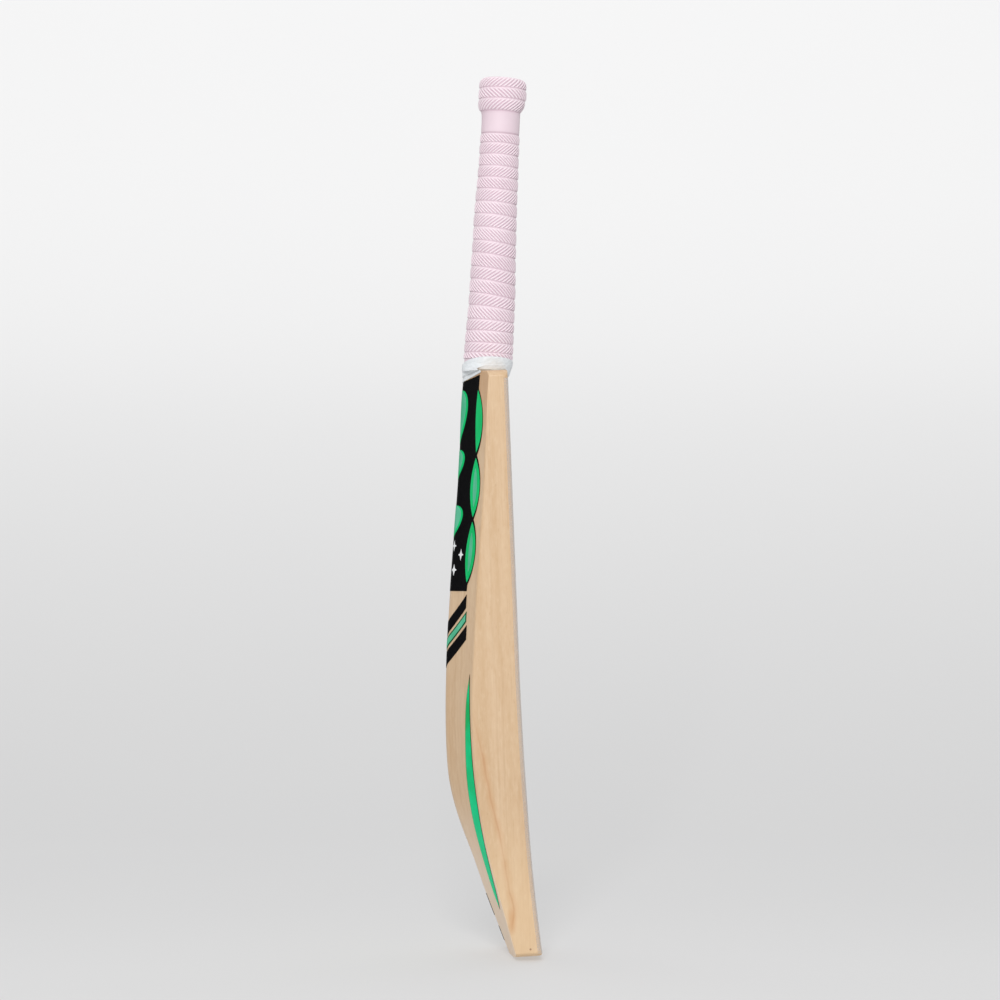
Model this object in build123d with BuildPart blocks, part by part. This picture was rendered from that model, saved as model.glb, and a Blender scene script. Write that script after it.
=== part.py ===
"""Cricket bat, short-handle adult size, as an assembly of separate pieces.

Frame, millimetres: +Z runs up the blade from toe to handle, -Y is the way the
hitting face looks, +Y is the back with its spine, X is the width of the blade.
The origin is the middle of the toe, on the line where the flat part of the
hitting face meets the toe end. All heights below are TOE_LIFT above that frame;
save() brings each piece down.
"""

import os
from math import asin, atan, cos, radians, sin, sqrt, tan

from build123d import *

os.makedirs("parts", exist_ok=True)

# ---------------------------------------------------------------- blade sizes
FACE_CAMBER = 1.2  # how far the middle of the hitting face stands proud
FACE_ROUND = 4.0  # rounding where the face turns into the edge
BACK_ROUND = 2.2  # rounding where the edge turns into the back
EDGE_DRAFT = 0.8  # the edge wall leans in by this much towards the back
SPINE_HALF = 7.0  # half width of the rounded ridge of the spine
FLANK_SAG, SAG_RISE = 0.9, 23.0  # hollow of the back's flank, for this rise to the spine

# z, half width, y of face, y of back corner of the edge, y of spine
BLADE_TABLE = [
    (-14.0, 54.0, -12.8, 8.6, 10.6),
    (15.0, 54.0, -10.7, 15.8, 20.4),
    (40.0, 54.0, -8.6, 21.8, 29.0),
    (70.0, 54.0, -6.3, 29.1, 39.1),
    (100.0, 54.0, -4.5, 35.7, 48.3),
    (125.0, 54.0, -3.4, 40.1, 56.8),
    (150.0, 54.0, -2.6, 43.3, 63.9),
    (175.0, 54.0, -1.8, 45.5, 68.3),
    (200.0, 54.0, -1.1, 46.6, 69.6),
    (225.0, 54.0, -0.6, 46.9, 69.5),
    (260.0, 54.0, -0.1, 45.8, 68.1),
    (300.0, 54.0, 0.0, 42.3, 65.3),
    (350.0, 53.9, 0.0, 37.9, 60.7),
    (400.0, 53.7, 0.0, 32.9, 55.2),
    (450.0, 53.4, 0.0, 27.3, 49.4),
    (500.0, 53.1, 0.0, 23.4, 44.6),
    (545.0, 52.9, 0.0, 20.0, 40.9),
    (580.0, 52.8, 0.0, 17.4, 36.4),
]

OUTLINE_HALF = 54.6  # half width of the outline, just clear of the edges
OUTLINE_REACH = 130  # the outline volume runs this far to the front and back
TOE_LIFT = 2.5  # height of the toe end before the pieces are brought down
TOE_TILT = 1.0  # degrees the toe end leans, lower at the back
TOE_FLAT = 12.0  # half width of the flat in the middle of the toe end
TOE_ARC = 170.0  # radius of the toe end beside that flat, seen from the front
TOE_SIDE = 4.6  # width of the corner that joins the toe end to the edge
SHOULDER_Z = 566.0  # top of the shoulders beside the handle
SHOULDER_HALF = 20.0  # half width of the flat on top of the shoulders
SHOULDER_ROUND = 11.5  # radius where the shoulder turns down into the edge
SHOULDER_FALL = 1.0  # how far the shoulder falls from the flat to that round

# ---------------------------------------------------------------- handle sizes
SPLICE_TIP_Z = 421.0  # lower end of the V splice
SPLICE_TIP_HALF = 2.4
SPLICE_TOP_HALF = 17.0
SPLICE_OVERRUN = 1  # the V runs this far past the shoulders
CUT_REACH = 120  # depth of cuts that pass right through the blade

# cane core of the handle: z, y of centre, half width in X, half depth in Y
CORE_TABLE = [
    (560.0, 18.4, 16.8, 18.9),
    (568.0, 17.2, 17.1, 19.7),
    (578.0, 14.9, 17.4, 20.5),
    (596.0, 13.0, 17.3, 20.3),
    (635.0, 9.0, 17.0, 19.8),
    (692.0, 3.8, 16.3, 18.2),
    (750.0, -1.4, 15.5, 16.4),
    (808.0, -6.5, 15.2, 15.8),
    (843.0, -9.4, 15.2, 15.8),
]

HANDLE_LEAN = -0.0918  # how far the handle axis moves in Y per mm of Z
LEAN_Z, LEAN_Y = 571.0, 15.8  # a point on the handle axis
SPRING_IN, SPRING_OUT = 6.2, 7.8  # the rubber springs lie between these depths
STRIP = 8.6  # width of an inner cane strip
SLAB_Z = (400, 860)  # the slabs that cut the cane run past both of its ends
PAST_X, PAST_Y = 40.0, 60.0  # clear of the cane sideways and in depth
SPRING_PAST_X = 60  # clear of the cane sideways, for the springs

# Coverings
TWINE = 0.9  # thickness of the twine binding
GRIP_WALL = 2.1  # thickness of the rubber grip
GRIP_END_WALL = 1.3  # thickness of the grip's thin lower end
LABEL_T = 0.30  # vinyl label
FILM_T = 0.35  # clear anti-scuff film
TAPE_T = 0.90  # folded tape where it lies on the blade


# ---------------------------------------------------------------- shared shapes
def save(name, piece):
    """Bring a finished piece down so the toe end is at the origin, and write it."""
    lowered = Pos(0, 0, -TOE_LIFT) * piece
    lowered.label = name
    export_step(lowered, f"parts/{name}.step")


def row_at(table, z):
    """The row of a table at height z, on straight lines between its rows."""
    for low, high in zip(table, table[1:]):
        if low[0] <= z <= high[0]:
            share = (z - low[0]) / (high[0] - low[0])
            return (z, *(start + share * (end - start) for start, end in zip(low[1:], high[1:])))
    raise ValueError(z)


def section_points(half_width, face_y, edge_y, spine_y, grow):
    """Points of the +X half of a blade section, from face to spine, grown outwards."""
    back_half = half_width - EDGE_DRAFT
    # the flank's slope and the side of the ridge depend on each other
    slope = 0.3
    for _ in range(12):
        ridge_y = spine_y - SPINE_HALF * tan(slope / 2)
        slope = atan((ridge_y - edge_y) / (back_half - SPINE_HALF))
    ridge_y = spine_y - SPINE_HALF * tan(slope / 2)
    out_x, out_y = sin(slope), cos(slope)  # outward normal of the flank

    round_x, round_y = half_width - FACE_ROUND, face_y + FACE_ROUND
    diagonal = (FACE_ROUND + grow) * sqrt(0.5)

    wall_y = edge_y - BACK_ROUND
    flank_x = back_half - BACK_ROUND * out_y
    flank_y = edge_y + BACK_ROUND * out_x
    corner_x = 0.25 * back_half + 0.5 * back_half + 0.25 * flank_x
    corner_y = 0.25 * wall_y + 0.5 * edge_y + 0.25 * flank_y
    corner_grow = grow / sqrt((1 + out_x) ** 2 + out_y**2)

    sag = FLANK_SAG * (spine_y - edge_y) / SAG_RISE
    hollow_x = 0.5 * (flank_x + SPINE_HALF) - out_x * sag
    hollow_y = 0.5 * (flank_y + ridge_y) - out_y * sag
    return {
        "face": (round_x, face_y - grow),
        "face_round": (round_x + diagonal, round_y - diagonal),
        "edge": (half_width + grow, round_y),
        "wall": (back_half + grow, wall_y),
        "back_round": (corner_x + corner_grow * (1 + out_x), corner_y + corner_grow * out_y),
        "flank": (flank_x + grow * out_x, flank_y + grow * out_y),
        "hollow": (hollow_x + grow * out_x, hollow_y + grow * out_y),
        "ridge": (SPINE_HALF + grow * out_x, ridge_y + grow * out_y),
        "top": (0.0, spine_y + grow),
    }


def blade_loft(grow):
    """The blade body before its outline is cut, grown outwards."""
    with BuildPart() as body:
        for z, half_width, face_y, edge_y, spine_y in BLADE_TABLE:
            right = section_points(half_width, face_y, edge_y, spine_y, grow)
            left = {name: (-x, y) for name, (x, y) in right.items()}
            with BuildSketch(Plane.XY.offset(z)):
                with BuildLine():
                    ThreePointArc(left["face"], (0, face_y - FACE_CAMBER - grow), right["face"])
                    ThreePointArc(right["face"], right["face_round"], right["edge"])
                    Line(right["edge"], right["wall"])
                    ThreePointArc(right["wall"], right["back_round"], right["flank"])
                    ThreePointArc(right["flank"], right["hollow"], right["ridge"])
                    ThreePointArc(right["ridge"], right["top"], left["ridge"])
                    ThreePointArc(left["ridge"], left["hollow"], left["flank"])
                    ThreePointArc(left["flank"], left["back_round"], left["wall"])
                    Line(left["wall"], left["edge"])
                    ThreePointArc(left["edge"], left["face_round"], left["face"])
                make_face()
        loft()
    return body.part


def oval_loft(rows):
    """A loft through ovals given as z, y of centre, half X, half Y."""
    with BuildPart() as ovals:
        for z, centre_y, half_x, half_y in rows:
            with BuildSketch(Plane.XY.offset(z)):
                with Locations((0, centre_y)):
                    Ellipse(half_x, half_y)
        loft(ruled=True)
    return ovals.part


def core_ovals(heights, grow):
    """Rows of the core's ovals at some heights, grown outwards."""
    rows = []
    for height in heights:
        z, centre_y, half_x, half_y = row_at(CORE_TABLE, height)
        rows.append((z, centre_y, half_x + grow, half_y + grow))
    return rows


# The toe end plane leans, so the toe outline is pushed along that plane.
tilt = radians(TOE_TILT)
toe_plane = Plane(
    origin=(0, 0, TOE_LIFT), x_dir=(1, 0, 0), z_dir=(0, -cos(tilt), sin(tilt))
)


def outline(inset=0.0):
    """The volume inside the blade's outline seen from the front."""
    half_width = OUTLINE_HALF - inset

    # toe: flat, long arc, then a corner arc up to the edge
    reach = half_width - TOE_SIDE - TOE_FLAT
    lean = asin(reach / TOE_ARC)
    arc_mid = (TOE_FLAT + TOE_ARC * sin(lean / 2), inset + TOE_ARC * (1 - cos(lean / 2)))
    arc_end = (TOE_FLAT + reach, inset + TOE_ARC * (1 - cos(lean)))
    side_radius = TOE_SIDE / (1 - sin(lean))
    side_x, side_z = half_width - side_radius, arc_end[1] + side_radius * cos(lean)
    half_turn = (radians(90) - lean) / 2
    side_mid = (side_x + side_radius * cos(half_turn), side_z - side_radius * sin(half_turn))

    # shoulder: flat, slight fall, then a round down to the edge
    top = SHOULDER_Z - inset
    knee = top - SHOULDER_FALL - SHOULDER_ROUND
    bend_x = half_width - SHOULDER_ROUND
    bend_top = (bend_x, knee + SHOULDER_ROUND)
    bend_mid = (
        bend_x + SHOULDER_ROUND * cos(radians(45)),
        knee + SHOULDER_ROUND * sin(radians(45)),
    )

    with BuildPart() as volume:
        with BuildSketch(toe_plane):
            with BuildLine():
                Line((0, inset), (TOE_FLAT, inset))
                ThreePointArc((TOE_FLAT, inset), arc_mid, arc_end)
                ThreePointArc(arc_end, side_mid, (half_width, side_z))
                # 700 is well above the shoulders
                Polyline((half_width, side_z), (half_width, 700), (0, 700))
                mirror(about=Plane.YZ)
            make_face()
        extrude(amount=OUTLINE_REACH, both=True)
        with BuildSketch(Plane.XZ):
            with BuildLine():
                # 60 below the toe and 80 to the side are clear of the blade
                Polyline((0, -60), (80, -60), (80, knee), (half_width, knee))
                ThreePointArc((half_width, knee), bend_mid, bend_top)
                Polyline(bend_top, (SHOULDER_HALF, top), (0, top))
                mirror(about=Plane.YZ)
            make_face()
        extrude(amount=OUTLINE_REACH, both=True, mode=Mode.INTERSECT)
    return volume.part


# ---------------------------------------------------------------- helper solids
outline_volume = outline()

with BuildPart() as blade_full:
    add(blade_loft(0.0))
    add(outline_volume, mode=Mode.INTERSECT)

grown_label = blade_loft(LABEL_T)
grown_film = blade_loft(FILM_T)
grown_tape = blade_loft(TAPE_T)
core = oval_loft(CORE_TABLE)

# all of the cane: the V splice inside the blade, and the core
splice_left = (-SPLICE_TIP_HALF, SPLICE_TIP_Z + SPLICE_TIP_HALF)
splice_right = (SPLICE_TIP_HALF, SPLICE_TIP_Z + SPLICE_TIP_HALF)
splice_top = SHOULDER_Z + SPLICE_OVERRUN
with BuildPart() as cane_all:
    add(blade_full.part)
    with BuildSketch(Plane.XZ):
        with BuildLine():
            Polyline(
                splice_left,
                (-SPLICE_TOP_HALF, splice_top),
                (SPLICE_TOP_HALF, splice_top),
                splice_right,
            )
            ThreePointArc(splice_right, (0, SPLICE_TIP_Z), splice_left)
        make_face()
    extrude(amount=CUT_REACH, both=True, mode=Mode.INTERSECT)
    add(core)


# ---------------------------------------------------------------- blade
with BuildPart() as blade:
    add(blade_full.part)
    add(cane_all.part, mode=Mode.SUBTRACT)
save("blade", blade.part)


# ---------------------------------------------------------------- laminated cane handle
def slab(x_range, depth_range):
    """A slab between two depths from the handle axis, running along that axis."""
    x_start, x_end = x_range
    near, far = depth_range
    bottom, top = SLAB_Z
    bottom_y, top_y = (LEAN_Y + HANDLE_LEAN * (z - LEAN_Z) for z in SLAB_Z)
    with BuildPart() as cut:
        with BuildSketch(Plane.YZ.offset(x_start)):
            with BuildLine():
                Polyline(
                    (bottom_y + near, bottom),
                    (bottom_y + far, bottom),
                    (top_y + far, top),
                    (top_y + near, top),
                    close=True,
                )
            make_face()
        extrude(amount=x_end - x_start)
    return cut.part


def save_lamination(name, x_range, depth_range):
    """Cut one piece of the handle out of the whole cane."""
    with BuildPart() as lamination:
        add(cane_all.part)
        add(slab(x_range, depth_range), mode=Mode.INTERSECT)
    save(name, lamination.part)


# each layer is four strips, numbered from -X to +X
X_CUTS = [-PAST_X, -STRIP, 0.0, STRIP, PAST_X]
CANE_LAYERS = {
    "cane_front": (-PAST_Y, -SPRING_OUT),
    "cane_middle": (-SPRING_IN, SPRING_IN),
    "cane_back": (SPRING_OUT, PAST_Y),
}
for layer_name, depths in CANE_LAYERS.items():
    for number, x_range in enumerate(zip(X_CUTS, X_CUTS[1:]), start=1):
        save_lamination(f"{layer_name}_{number}", x_range, depths)

SPRINGS = {
    "rubber_spring_front": (-SPRING_OUT, -SPRING_IN),
    "rubber_spring_back": (SPRING_IN, SPRING_OUT),
}
for spring_name, depths in SPRINGS.items():
    save_lamination(spring_name, (-SPRING_PAST_X, SPRING_PAST_X), depths)


# ---------------------------------------------------------------- twine binding
binding_outer = oval_loft(core_ovals((568, 578, 596, 635, 692, 750, 808, 838), TWINE))

with BuildPart() as twine_binding:
    add(binding_outer)
    add(core, mode=Mode.SUBTRACT)
save("twine_binding", twine_binding.part)


# ---------------------------------------------------------------- rubber grip
# thick collar with its rolled rim: z, y of centre, half X, half Y
COLLAR_TABLE = [
    (815.0, -7.1, 18.3, 18.9),
    (818.5, -7.6, 20.6, 21.3),
    (822.5, -8.0, 22.0, 22.6),
    (828.0, -8.5, 22.3, 22.9),
    (837.0, -9.1, 22.1, 22.6),
    (842.5, -9.3, 21.4, 21.9),
    (846.5, -9.5, 19.8, 20.3),
    (849.5, -9.6, 16.6, 17.0),
]
SLEEVE_ZS = (579, 596, 635, 692, 750, 808)
RIM_FLOOR_Z = 840  # lower end of the opening in the rim
RIM_Y = -9.5
RIM_HALF_X, RIM_HALF_Y = 12.0, 12.4

with BuildPart() as rubber_grip:
    # thin lower end that the tape covers
    add(oval_loft(core_ovals((573, 578, SLEEVE_ZS[0]), TWINE + GRIP_END_WALL)))
    # main sleeve, up to the foot of the collar
    add(oval_loft(core_ovals(SLEEVE_ZS, TWINE + GRIP_WALL) + COLLAR_TABLE[:1]))
    add(oval_loft(COLLAR_TABLE))
    add(binding_outer, mode=Mode.SUBTRACT)
    add(core, mode=Mode.SUBTRACT)
    # opening in the rim that leaves the handle end bare
    with BuildSketch(Plane.XY.offset(RIM_FLOOR_Z)):
        with Locations((0, RIM_Y)):
            Ellipse(RIM_HALF_X, RIM_HALF_Y)
    extrude(amount=20, mode=Mode.SUBTRACT)
save("rubber_grip", rubber_grip.part)


# ---------------------------------------------------------------- tape at the foot of the grip
# z, y of centre, half X, half Y
TAPE_TABLE = [
    (SHOULDER_Z, 18.0, 19.2, 20.9),
    (569.0, 17.2, 19.7, 22.0),
    (573.0, 15.9, 20.3, 23.0),
    (576.0, 15.1, 20.6, 23.5),
    (579.0, 14.6, 20.6, 23.5),
]
# x, z of the tongue's lower border, from its side to its tip
TONGUE_BORDER = [(18.6, 564.6), (9.0, 559.0), (0, 555.6)]

# tongue of tape that lies on the back of the blade
with BuildPart() as tape_tongue:
    add(grown_tape)
    with BuildSketch(Plane.XZ):
        with BuildLine():
            Polyline((0, SHOULDER_Z), (TONGUE_BORDER[0][0], SHOULDER_Z), TONGUE_BORDER[0])
            Spline(*TONGUE_BORDER, tangents=[(-0.7, -0.7), (-1, 0)])
            mirror(about=Plane.YZ)
        make_face()
    extrude(amount=-CUT_REACH, mode=Mode.INTERSECT)

with BuildPart() as shoulder_tape:
    add(oval_loft(TAPE_TABLE))
    add(tape_tongue.part)
    add(core, mode=Mode.SUBTRACT)
    add(binding_outer, mode=Mode.SUBTRACT)
    add(rubber_grip.part, mode=Mode.SUBTRACT)
    add(blade_full.part, mode=Mode.SUBTRACT)
save("shoulder_tape", shoulder_tape.part)


# ---------------------------------------------------------------- labels on the back
# Label shapes are drawn as x, z on this plane inside the blade. A prism that runs
# back from it meets only the back of the blade, one that runs forward only the face.
LABEL_PLANE = Plane.XZ.offset(-12)
TO_BACK, TO_FACE = -100.0, 60


def prism(sketch, amount):
    """A prism from the label plane, through the back or the face."""
    with BuildPart() as solid:
        extrude(sketch, amount=amount)
    return solid.part


def skin(grown, shape):
    """A thin skin on the blade surface inside a shape."""
    with BuildPart() as layer:
        add(grown)
        add(shape, mode=Mode.INTERSECT)
        add(blade_full.part, mode=Mode.SUBTRACT)
    return layer.part


# one label with three rounded lobes on each side
LABEL_TOP = [(0, 553.6), (11, 557.6), (20, 561.6), (36, 561.6), (36, 548)]
# widest point of each lobe, then its lower end
LABEL_LOBES = [
    ((45, 517), (35, 484.5)),
    ((44.5, 454.0), (36, 423.5)),
    ((45, 393.0), (33, 361.5)),
]
LABEL_FOOT = [(33, 361.5), (32.5, 357.5), (0, 357.5)]

with BuildSketch(LABEL_PLANE) as label_field:
    with BuildLine():
        Polyline(*LABEL_TOP)
        lobe_start = LABEL_TOP[-1]
        for lobe_mid, lobe_end in LABEL_LOBES:
            ThreePointArc(lobe_start, lobe_mid, lobe_end)
            lobe_start = lobe_end
        Polyline(*LABEL_FOOT)
        mirror(about=Plane.YZ)
    make_face()
save("back_label", skin(grown_label, prism(label_field.sketch, TO_BACK)))

CHEVRON_DROP = 28  # how far the middle of a band lies below its ends
# z of the upper border at the sides, height of the band, half width
CHEVRONS = [(352, 13, 33.0), (336, 10, 34.5), (323, 14, 36.0)]


def chevron(top, height, half_width):
    """A V shaped band that points down the spine."""
    middle = top - CHEVRON_DROP
    with BuildSketch(LABEL_PLANE) as band:
        with BuildLine():
            Polyline(
                (0, middle), (half_width, top), (half_width, top - height), (0, middle - height)
            )
            mirror(about=Plane.YZ)
        make_face()
    return band.sketch


with BuildPart() as spine_emblem:
    for top, height, half_width in CHEVRONS:
        add(skin(grown_label, prism(chevron(top, height, half_width), TO_BACK)))
save("spine_emblem", spine_emblem.part)

# long curved stripes beside the edges, pointed at both ends; left is -X
STRIPE_OUT = [
    (46.0, 273.0), (47.6, 251.0), (48.6, 203.0), (49.6, 155.0),
    (48.8, 107.0), (45.2, 66.0), (40.0, 47.0),
]
STRIPE_IN = [
    (40.0, 47.0), (35.2, 66.0), (33.8, 107.0), (35.4, 155.0),
    (38.2, 203.0), (42.2, 251.0), (46.0, 273.0),
]
for side, sign in (("left", -1), ("right", 1)):
    with BuildSketch(LABEL_PLANE) as stripe:
        with BuildLine():
            for border in (STRIPE_OUT, STRIPE_IN):
                Spline(*[(sign * x, z) for x, z in border])
        make_face()
    save(f"edge_stripe_{side}", skin(grown_label, prism(stripe.sketch, TO_BACK)))

# two upright bars above the toe
TOE_BARS = [(51.5, 21.0), (23, 14.0)]  # z of centre, height
TOE_BAR_WIDTH, TOE_BAR_ROUND = 7.0, 1.2
with BuildSketch(LABEL_PLANE) as toe_bars:
    for z, height in TOE_BARS:
        with Locations((0, z)):
            RectangleRounded(TOE_BAR_WIDTH, height, TOE_BAR_ROUND)
save("toe_marks", skin(grown_label, prism(toe_bars.sketch, TO_BACK)))


# ---------------------------------------------------------------- front of the blade
# x, z of the face label's border from top to tip, and how each moves per mm grown
SHIELD = [(0, 409, 0, 1), (30, 395, 1, 0), (24, 336, 1, 0), (0, 300, 0, -1.3)]


def shield(grow):
    """Outline of the face label, grown all round."""
    border = [(x + grow * move_x, z + grow * move_z) for x, z, move_x, move_z in SHIELD]
    with BuildSketch(LABEL_PLANE) as shape:
        with BuildLine():
            Spline(*border, tangents=[(1, 0), (-0.6, -1)])
            mirror(about=Plane.YZ)
        make_face()
    return shape.sketch


save("face_label", skin(grown_label, prism(shield(0.0), TO_FACE)))

FILM_ZS = [9, 25, 40, 55, 70, 85, 100, 125, 150, 175, 200, 230, 260, 300, 557]
FILM_WRAP = 2.9  # how far the film reaches back round the face corners
FILM_INSET = 1.0  # from the blade's outline
FILM_GAP = 0.8  # round the face label
FILM_CLEAR_Y = -40  # clear in front of the face

with BuildPart() as film_region:
    with BuildSketch(Plane.YZ):
        with BuildLine():
            Polyline(
                *[(row_at(BLADE_TABLE, z)[2] + FILM_WRAP, z) for z in FILM_ZS],
                (FILM_CLEAR_Y, FILM_ZS[-1]),
                (FILM_CLEAR_Y, FILM_ZS[0]),
                close=True,
            )
        make_face()
    extrude(amount=80, both=True)
    add(outline(inset=FILM_INSET), mode=Mode.INTERSECT)
    # opening round the face label
    add(prism(shield(FILM_GAP), TO_FACE), mode=Mode.SUBTRACT)
save("anti_scuff_film", skin(grown_film, film_region.part))
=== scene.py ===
"""A cricket bat standing on its toe: willow blade, cane handle, rubber grip, tape and labels.

X runs across the blade, Y from its flat face (-Y) to its ridged back (+Y), Z up the bat
from the toe. Shapes are in millimetres, with heights counted from LIFT below the toe end.
Materials, floor, lights and the Blender scene are in metres. The camera looks from -X.
"""

import math

import bmesh
import bpy
import numpy as np
from mathutils import Matrix, Vector

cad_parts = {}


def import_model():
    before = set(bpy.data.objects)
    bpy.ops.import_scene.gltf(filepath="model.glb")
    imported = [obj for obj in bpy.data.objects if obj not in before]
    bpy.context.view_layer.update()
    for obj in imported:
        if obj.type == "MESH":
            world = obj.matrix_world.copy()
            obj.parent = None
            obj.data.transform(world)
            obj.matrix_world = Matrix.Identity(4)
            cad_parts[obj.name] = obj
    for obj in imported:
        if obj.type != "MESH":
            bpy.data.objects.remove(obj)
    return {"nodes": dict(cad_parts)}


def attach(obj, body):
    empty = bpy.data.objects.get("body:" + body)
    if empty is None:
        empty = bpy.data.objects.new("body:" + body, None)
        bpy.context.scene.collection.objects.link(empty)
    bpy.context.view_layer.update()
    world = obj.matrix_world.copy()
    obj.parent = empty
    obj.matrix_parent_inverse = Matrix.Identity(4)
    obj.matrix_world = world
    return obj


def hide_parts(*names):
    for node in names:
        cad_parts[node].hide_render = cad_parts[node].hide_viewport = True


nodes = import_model()["nodes"]
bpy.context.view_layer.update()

MM = 0.001
LIFT = 2.5
MIRROR_X = np.array([-1.0, 1.0])  # mirrors (x, z) points


# ------------------------------------------------------------------ curves
def smooth(start, end, x):
    """Smooth step from 0 at start to 1 at end."""
    t = np.clip((np.asarray(x, float) - start) / (end - start), 0, 1)
    return t * t * (3 - 2 * t)


class NaturalSpline:
    """Natural cubic spline through (x, y) pairs, x rising."""

    def __init__(self, x, y):
        count = len(x)
        step = np.diff(x)
        matrix = np.zeros((count, count))
        target = np.zeros(count)
        matrix[0, 0] = matrix[-1, -1] = 1
        for i in range(1, count - 1):
            before, after = step[i - 1], step[i]
            matrix[i, i - 1 : i + 2] = before, 2 * (before + after), after
            target[i] = 6 * ((y[i + 1] - y[i]) / after - (y[i] - y[i - 1]) / before)
        self.bend = np.linalg.solve(matrix, target)
        self.x, self.y, self.step = x, y, step

    def __call__(self, query):
        query = np.asarray(query, float)
        i = np.clip(np.searchsorted(self.x, query) - 1, 0, len(self.x) - 2)
        past = query - self.x[i]
        left = self.x[i + 1] - query
        step, bend, y = self.step[i], self.bend, self.y
        return (
            (bend[i] * left**3 + bend[i + 1] * past**3) / (6 * step)
            + (y[i] / step - bend[i] * step / 6) * left
            + (y[i + 1] / step - bend[i + 1] * step / 6) * past
        )


def monotone_curve(xs, ys):
    """Cubic curve through the points that never overshoots them."""
    xs, ys = np.array(xs, float), np.array(ys, float)
    step = np.diff(xs)
    rise = np.diff(ys) / step
    slope = np.zeros(len(xs))
    slope[0], slope[-1] = rise[0], rise[-1]
    for i in range(1, len(xs) - 1):
        if rise[i - 1] * rise[i] > 0:
            before, after = 2 * step[i] + step[i - 1], step[i] + 2 * step[i - 1]
            slope[i] = (before + after) / (before / rise[i - 1] + after / rise[i])

    def curve(query):
        query = np.clip(np.asarray(query, float), xs[0], xs[-1])
        i = np.clip(np.searchsorted(xs, query) - 1, 0, len(xs) - 2)
        t = (query - xs[i]) / step[i]
        return (
            (1 + 2 * t) * (1 - t) ** 2 * ys[i]
            + t * (1 - t) ** 2 * step[i] * slope[i]
            + t * t * (3 - 2 * t) * ys[i + 1]
            + t * t * (t - 1) * step[i] * slope[i + 1]
        )

    return curve


def arc_through(start, middle, end, count):
    """Points on the circle arc from start through middle to end."""
    points = np.array([start, middle, end], float)
    chords = points[1:] - points[0]
    squares = (points**2).sum(axis=1)
    center = np.linalg.solve(2 * chords, squares[1:] - squares[0])
    spokes = points - center
    angles = np.unwrap(np.arctan2(spokes[:, 1], spokes[:, 0]))
    turn = np.linspace(angles[0], angles[2], count)
    radius = np.linalg.norm(spokes[0])
    return center + radius * np.stack([np.cos(turn), np.sin(turn)], -1)


def resample(points, count):
    """Spaces count points evenly along a polyline."""
    lengths = np.linalg.norm(np.diff(points, axis=0), axis=1)
    along = np.concatenate([[0], np.cumsum(lengths)])
    query = np.linspace(0, along[-1], count)
    return np.stack([np.interp(query, along, points[:, k]) for k in (0, 1)], -1)


# ------------------------------------------------------------------ blade surface
# height, half width, y of the face, y of the back at the side, y of the spine
BLADE = np.array(
    [
        (-14.0, 54.0, -12.8, 8.6, 10.6),
        (15.0, 54.0, -10.7, 15.8, 20.4),
        (40.0, 54.0, -8.6, 21.8, 29.0),
        (70.0, 54.0, -6.3, 29.1, 39.1),
        (100.0, 54.0, -4.5, 35.7, 48.3),
        (125.0, 54.0, -3.4, 40.1, 56.8),
        (150.0, 54.0, -2.6, 43.3, 63.9),
        (175.0, 54.0, -1.8, 45.5, 68.3),
        (200.0, 54.0, -1.1, 46.6, 69.6),
        (225.0, 54.0, -0.6, 46.9, 69.5),
        (260.0, 54.0, -0.1, 45.8, 68.1),
        (300.0, 54.0, 0.0, 42.3, 65.3),
        (350.0, 53.9, 0.0, 37.9, 60.7),
        (400.0, 53.7, 0.0, 32.9, 55.2),
        (450.0, 53.4, 0.0, 27.3, 49.4),
        (500.0, 53.1, 0.0, 23.4, 44.6),
        (545.0, 52.9, 0.0, 20.0, 40.9),
        (580.0, 52.8, 0.0, 15.8, 36.4),
    ]
)
width_at, face_at, edge_at, spine_at = (
    NaturalSpline(BLADE[:, 0], BLADE[:, k]) for k in (1, 2, 3, 4)
)
CAMBER = 1.2  # bulge of the face
FACE_ROUND = 4.0  # corner radius between face and side
DRAFT = 0.8  # how much narrower the back is than the face, each side
SPINE = 7.0  # half width of the rounded spine
TOE_TAN = math.tan(math.radians(1.0))  # lean of the toe end
SHOULDER_Z = 566.0
SHOULDER_ROUND, SHOULDER_DROP = 11.5, 12.5  # radius, and its centre below the top

# the toe outline: a flat foot, a shallow arc and a tight corner up to the side
OUTLINE_HALF, TOE_FLAT, TOE_ARC, TOE_CORNER = 54.6, 12.0, 170.0, 4.6


def face_y(x, z):
    width = width_at(z) - FACE_ROUND
    across = np.clip(np.abs(x) / width, 0, 1)
    return face_at(z) - CAMBER * (1 - across * across)


def back_y(x, z):
    """The back: two hollow slopes that meet in a rounded spine."""
    x = np.abs(x)
    width, edge, top = width_at(z) - DRAFT, edge_at(z), spine_at(z)
    lean = np.full(np.broadcast(x, z).shape, 0.3)
    for _ in range(10):
        lean = np.arctan((top - SPINE * np.tan(lean / 2) - edge) / (width - SPINE))
    across = np.clip((width - x) / (width - SPINE), 0, 1)
    sag = 0.9 * (top - edge) / 23.0
    slope = edge + (width - x) * np.tan(lean) - 4 * sag * across * (1 - across)
    radius = SPINE / np.sin(lean)
    crown = np.sqrt(np.maximum(radius * radius - np.minimum(x, SPINE) ** 2, 0))
    return np.where(x < SPINE, top - (radius - crown), slope)


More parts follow.
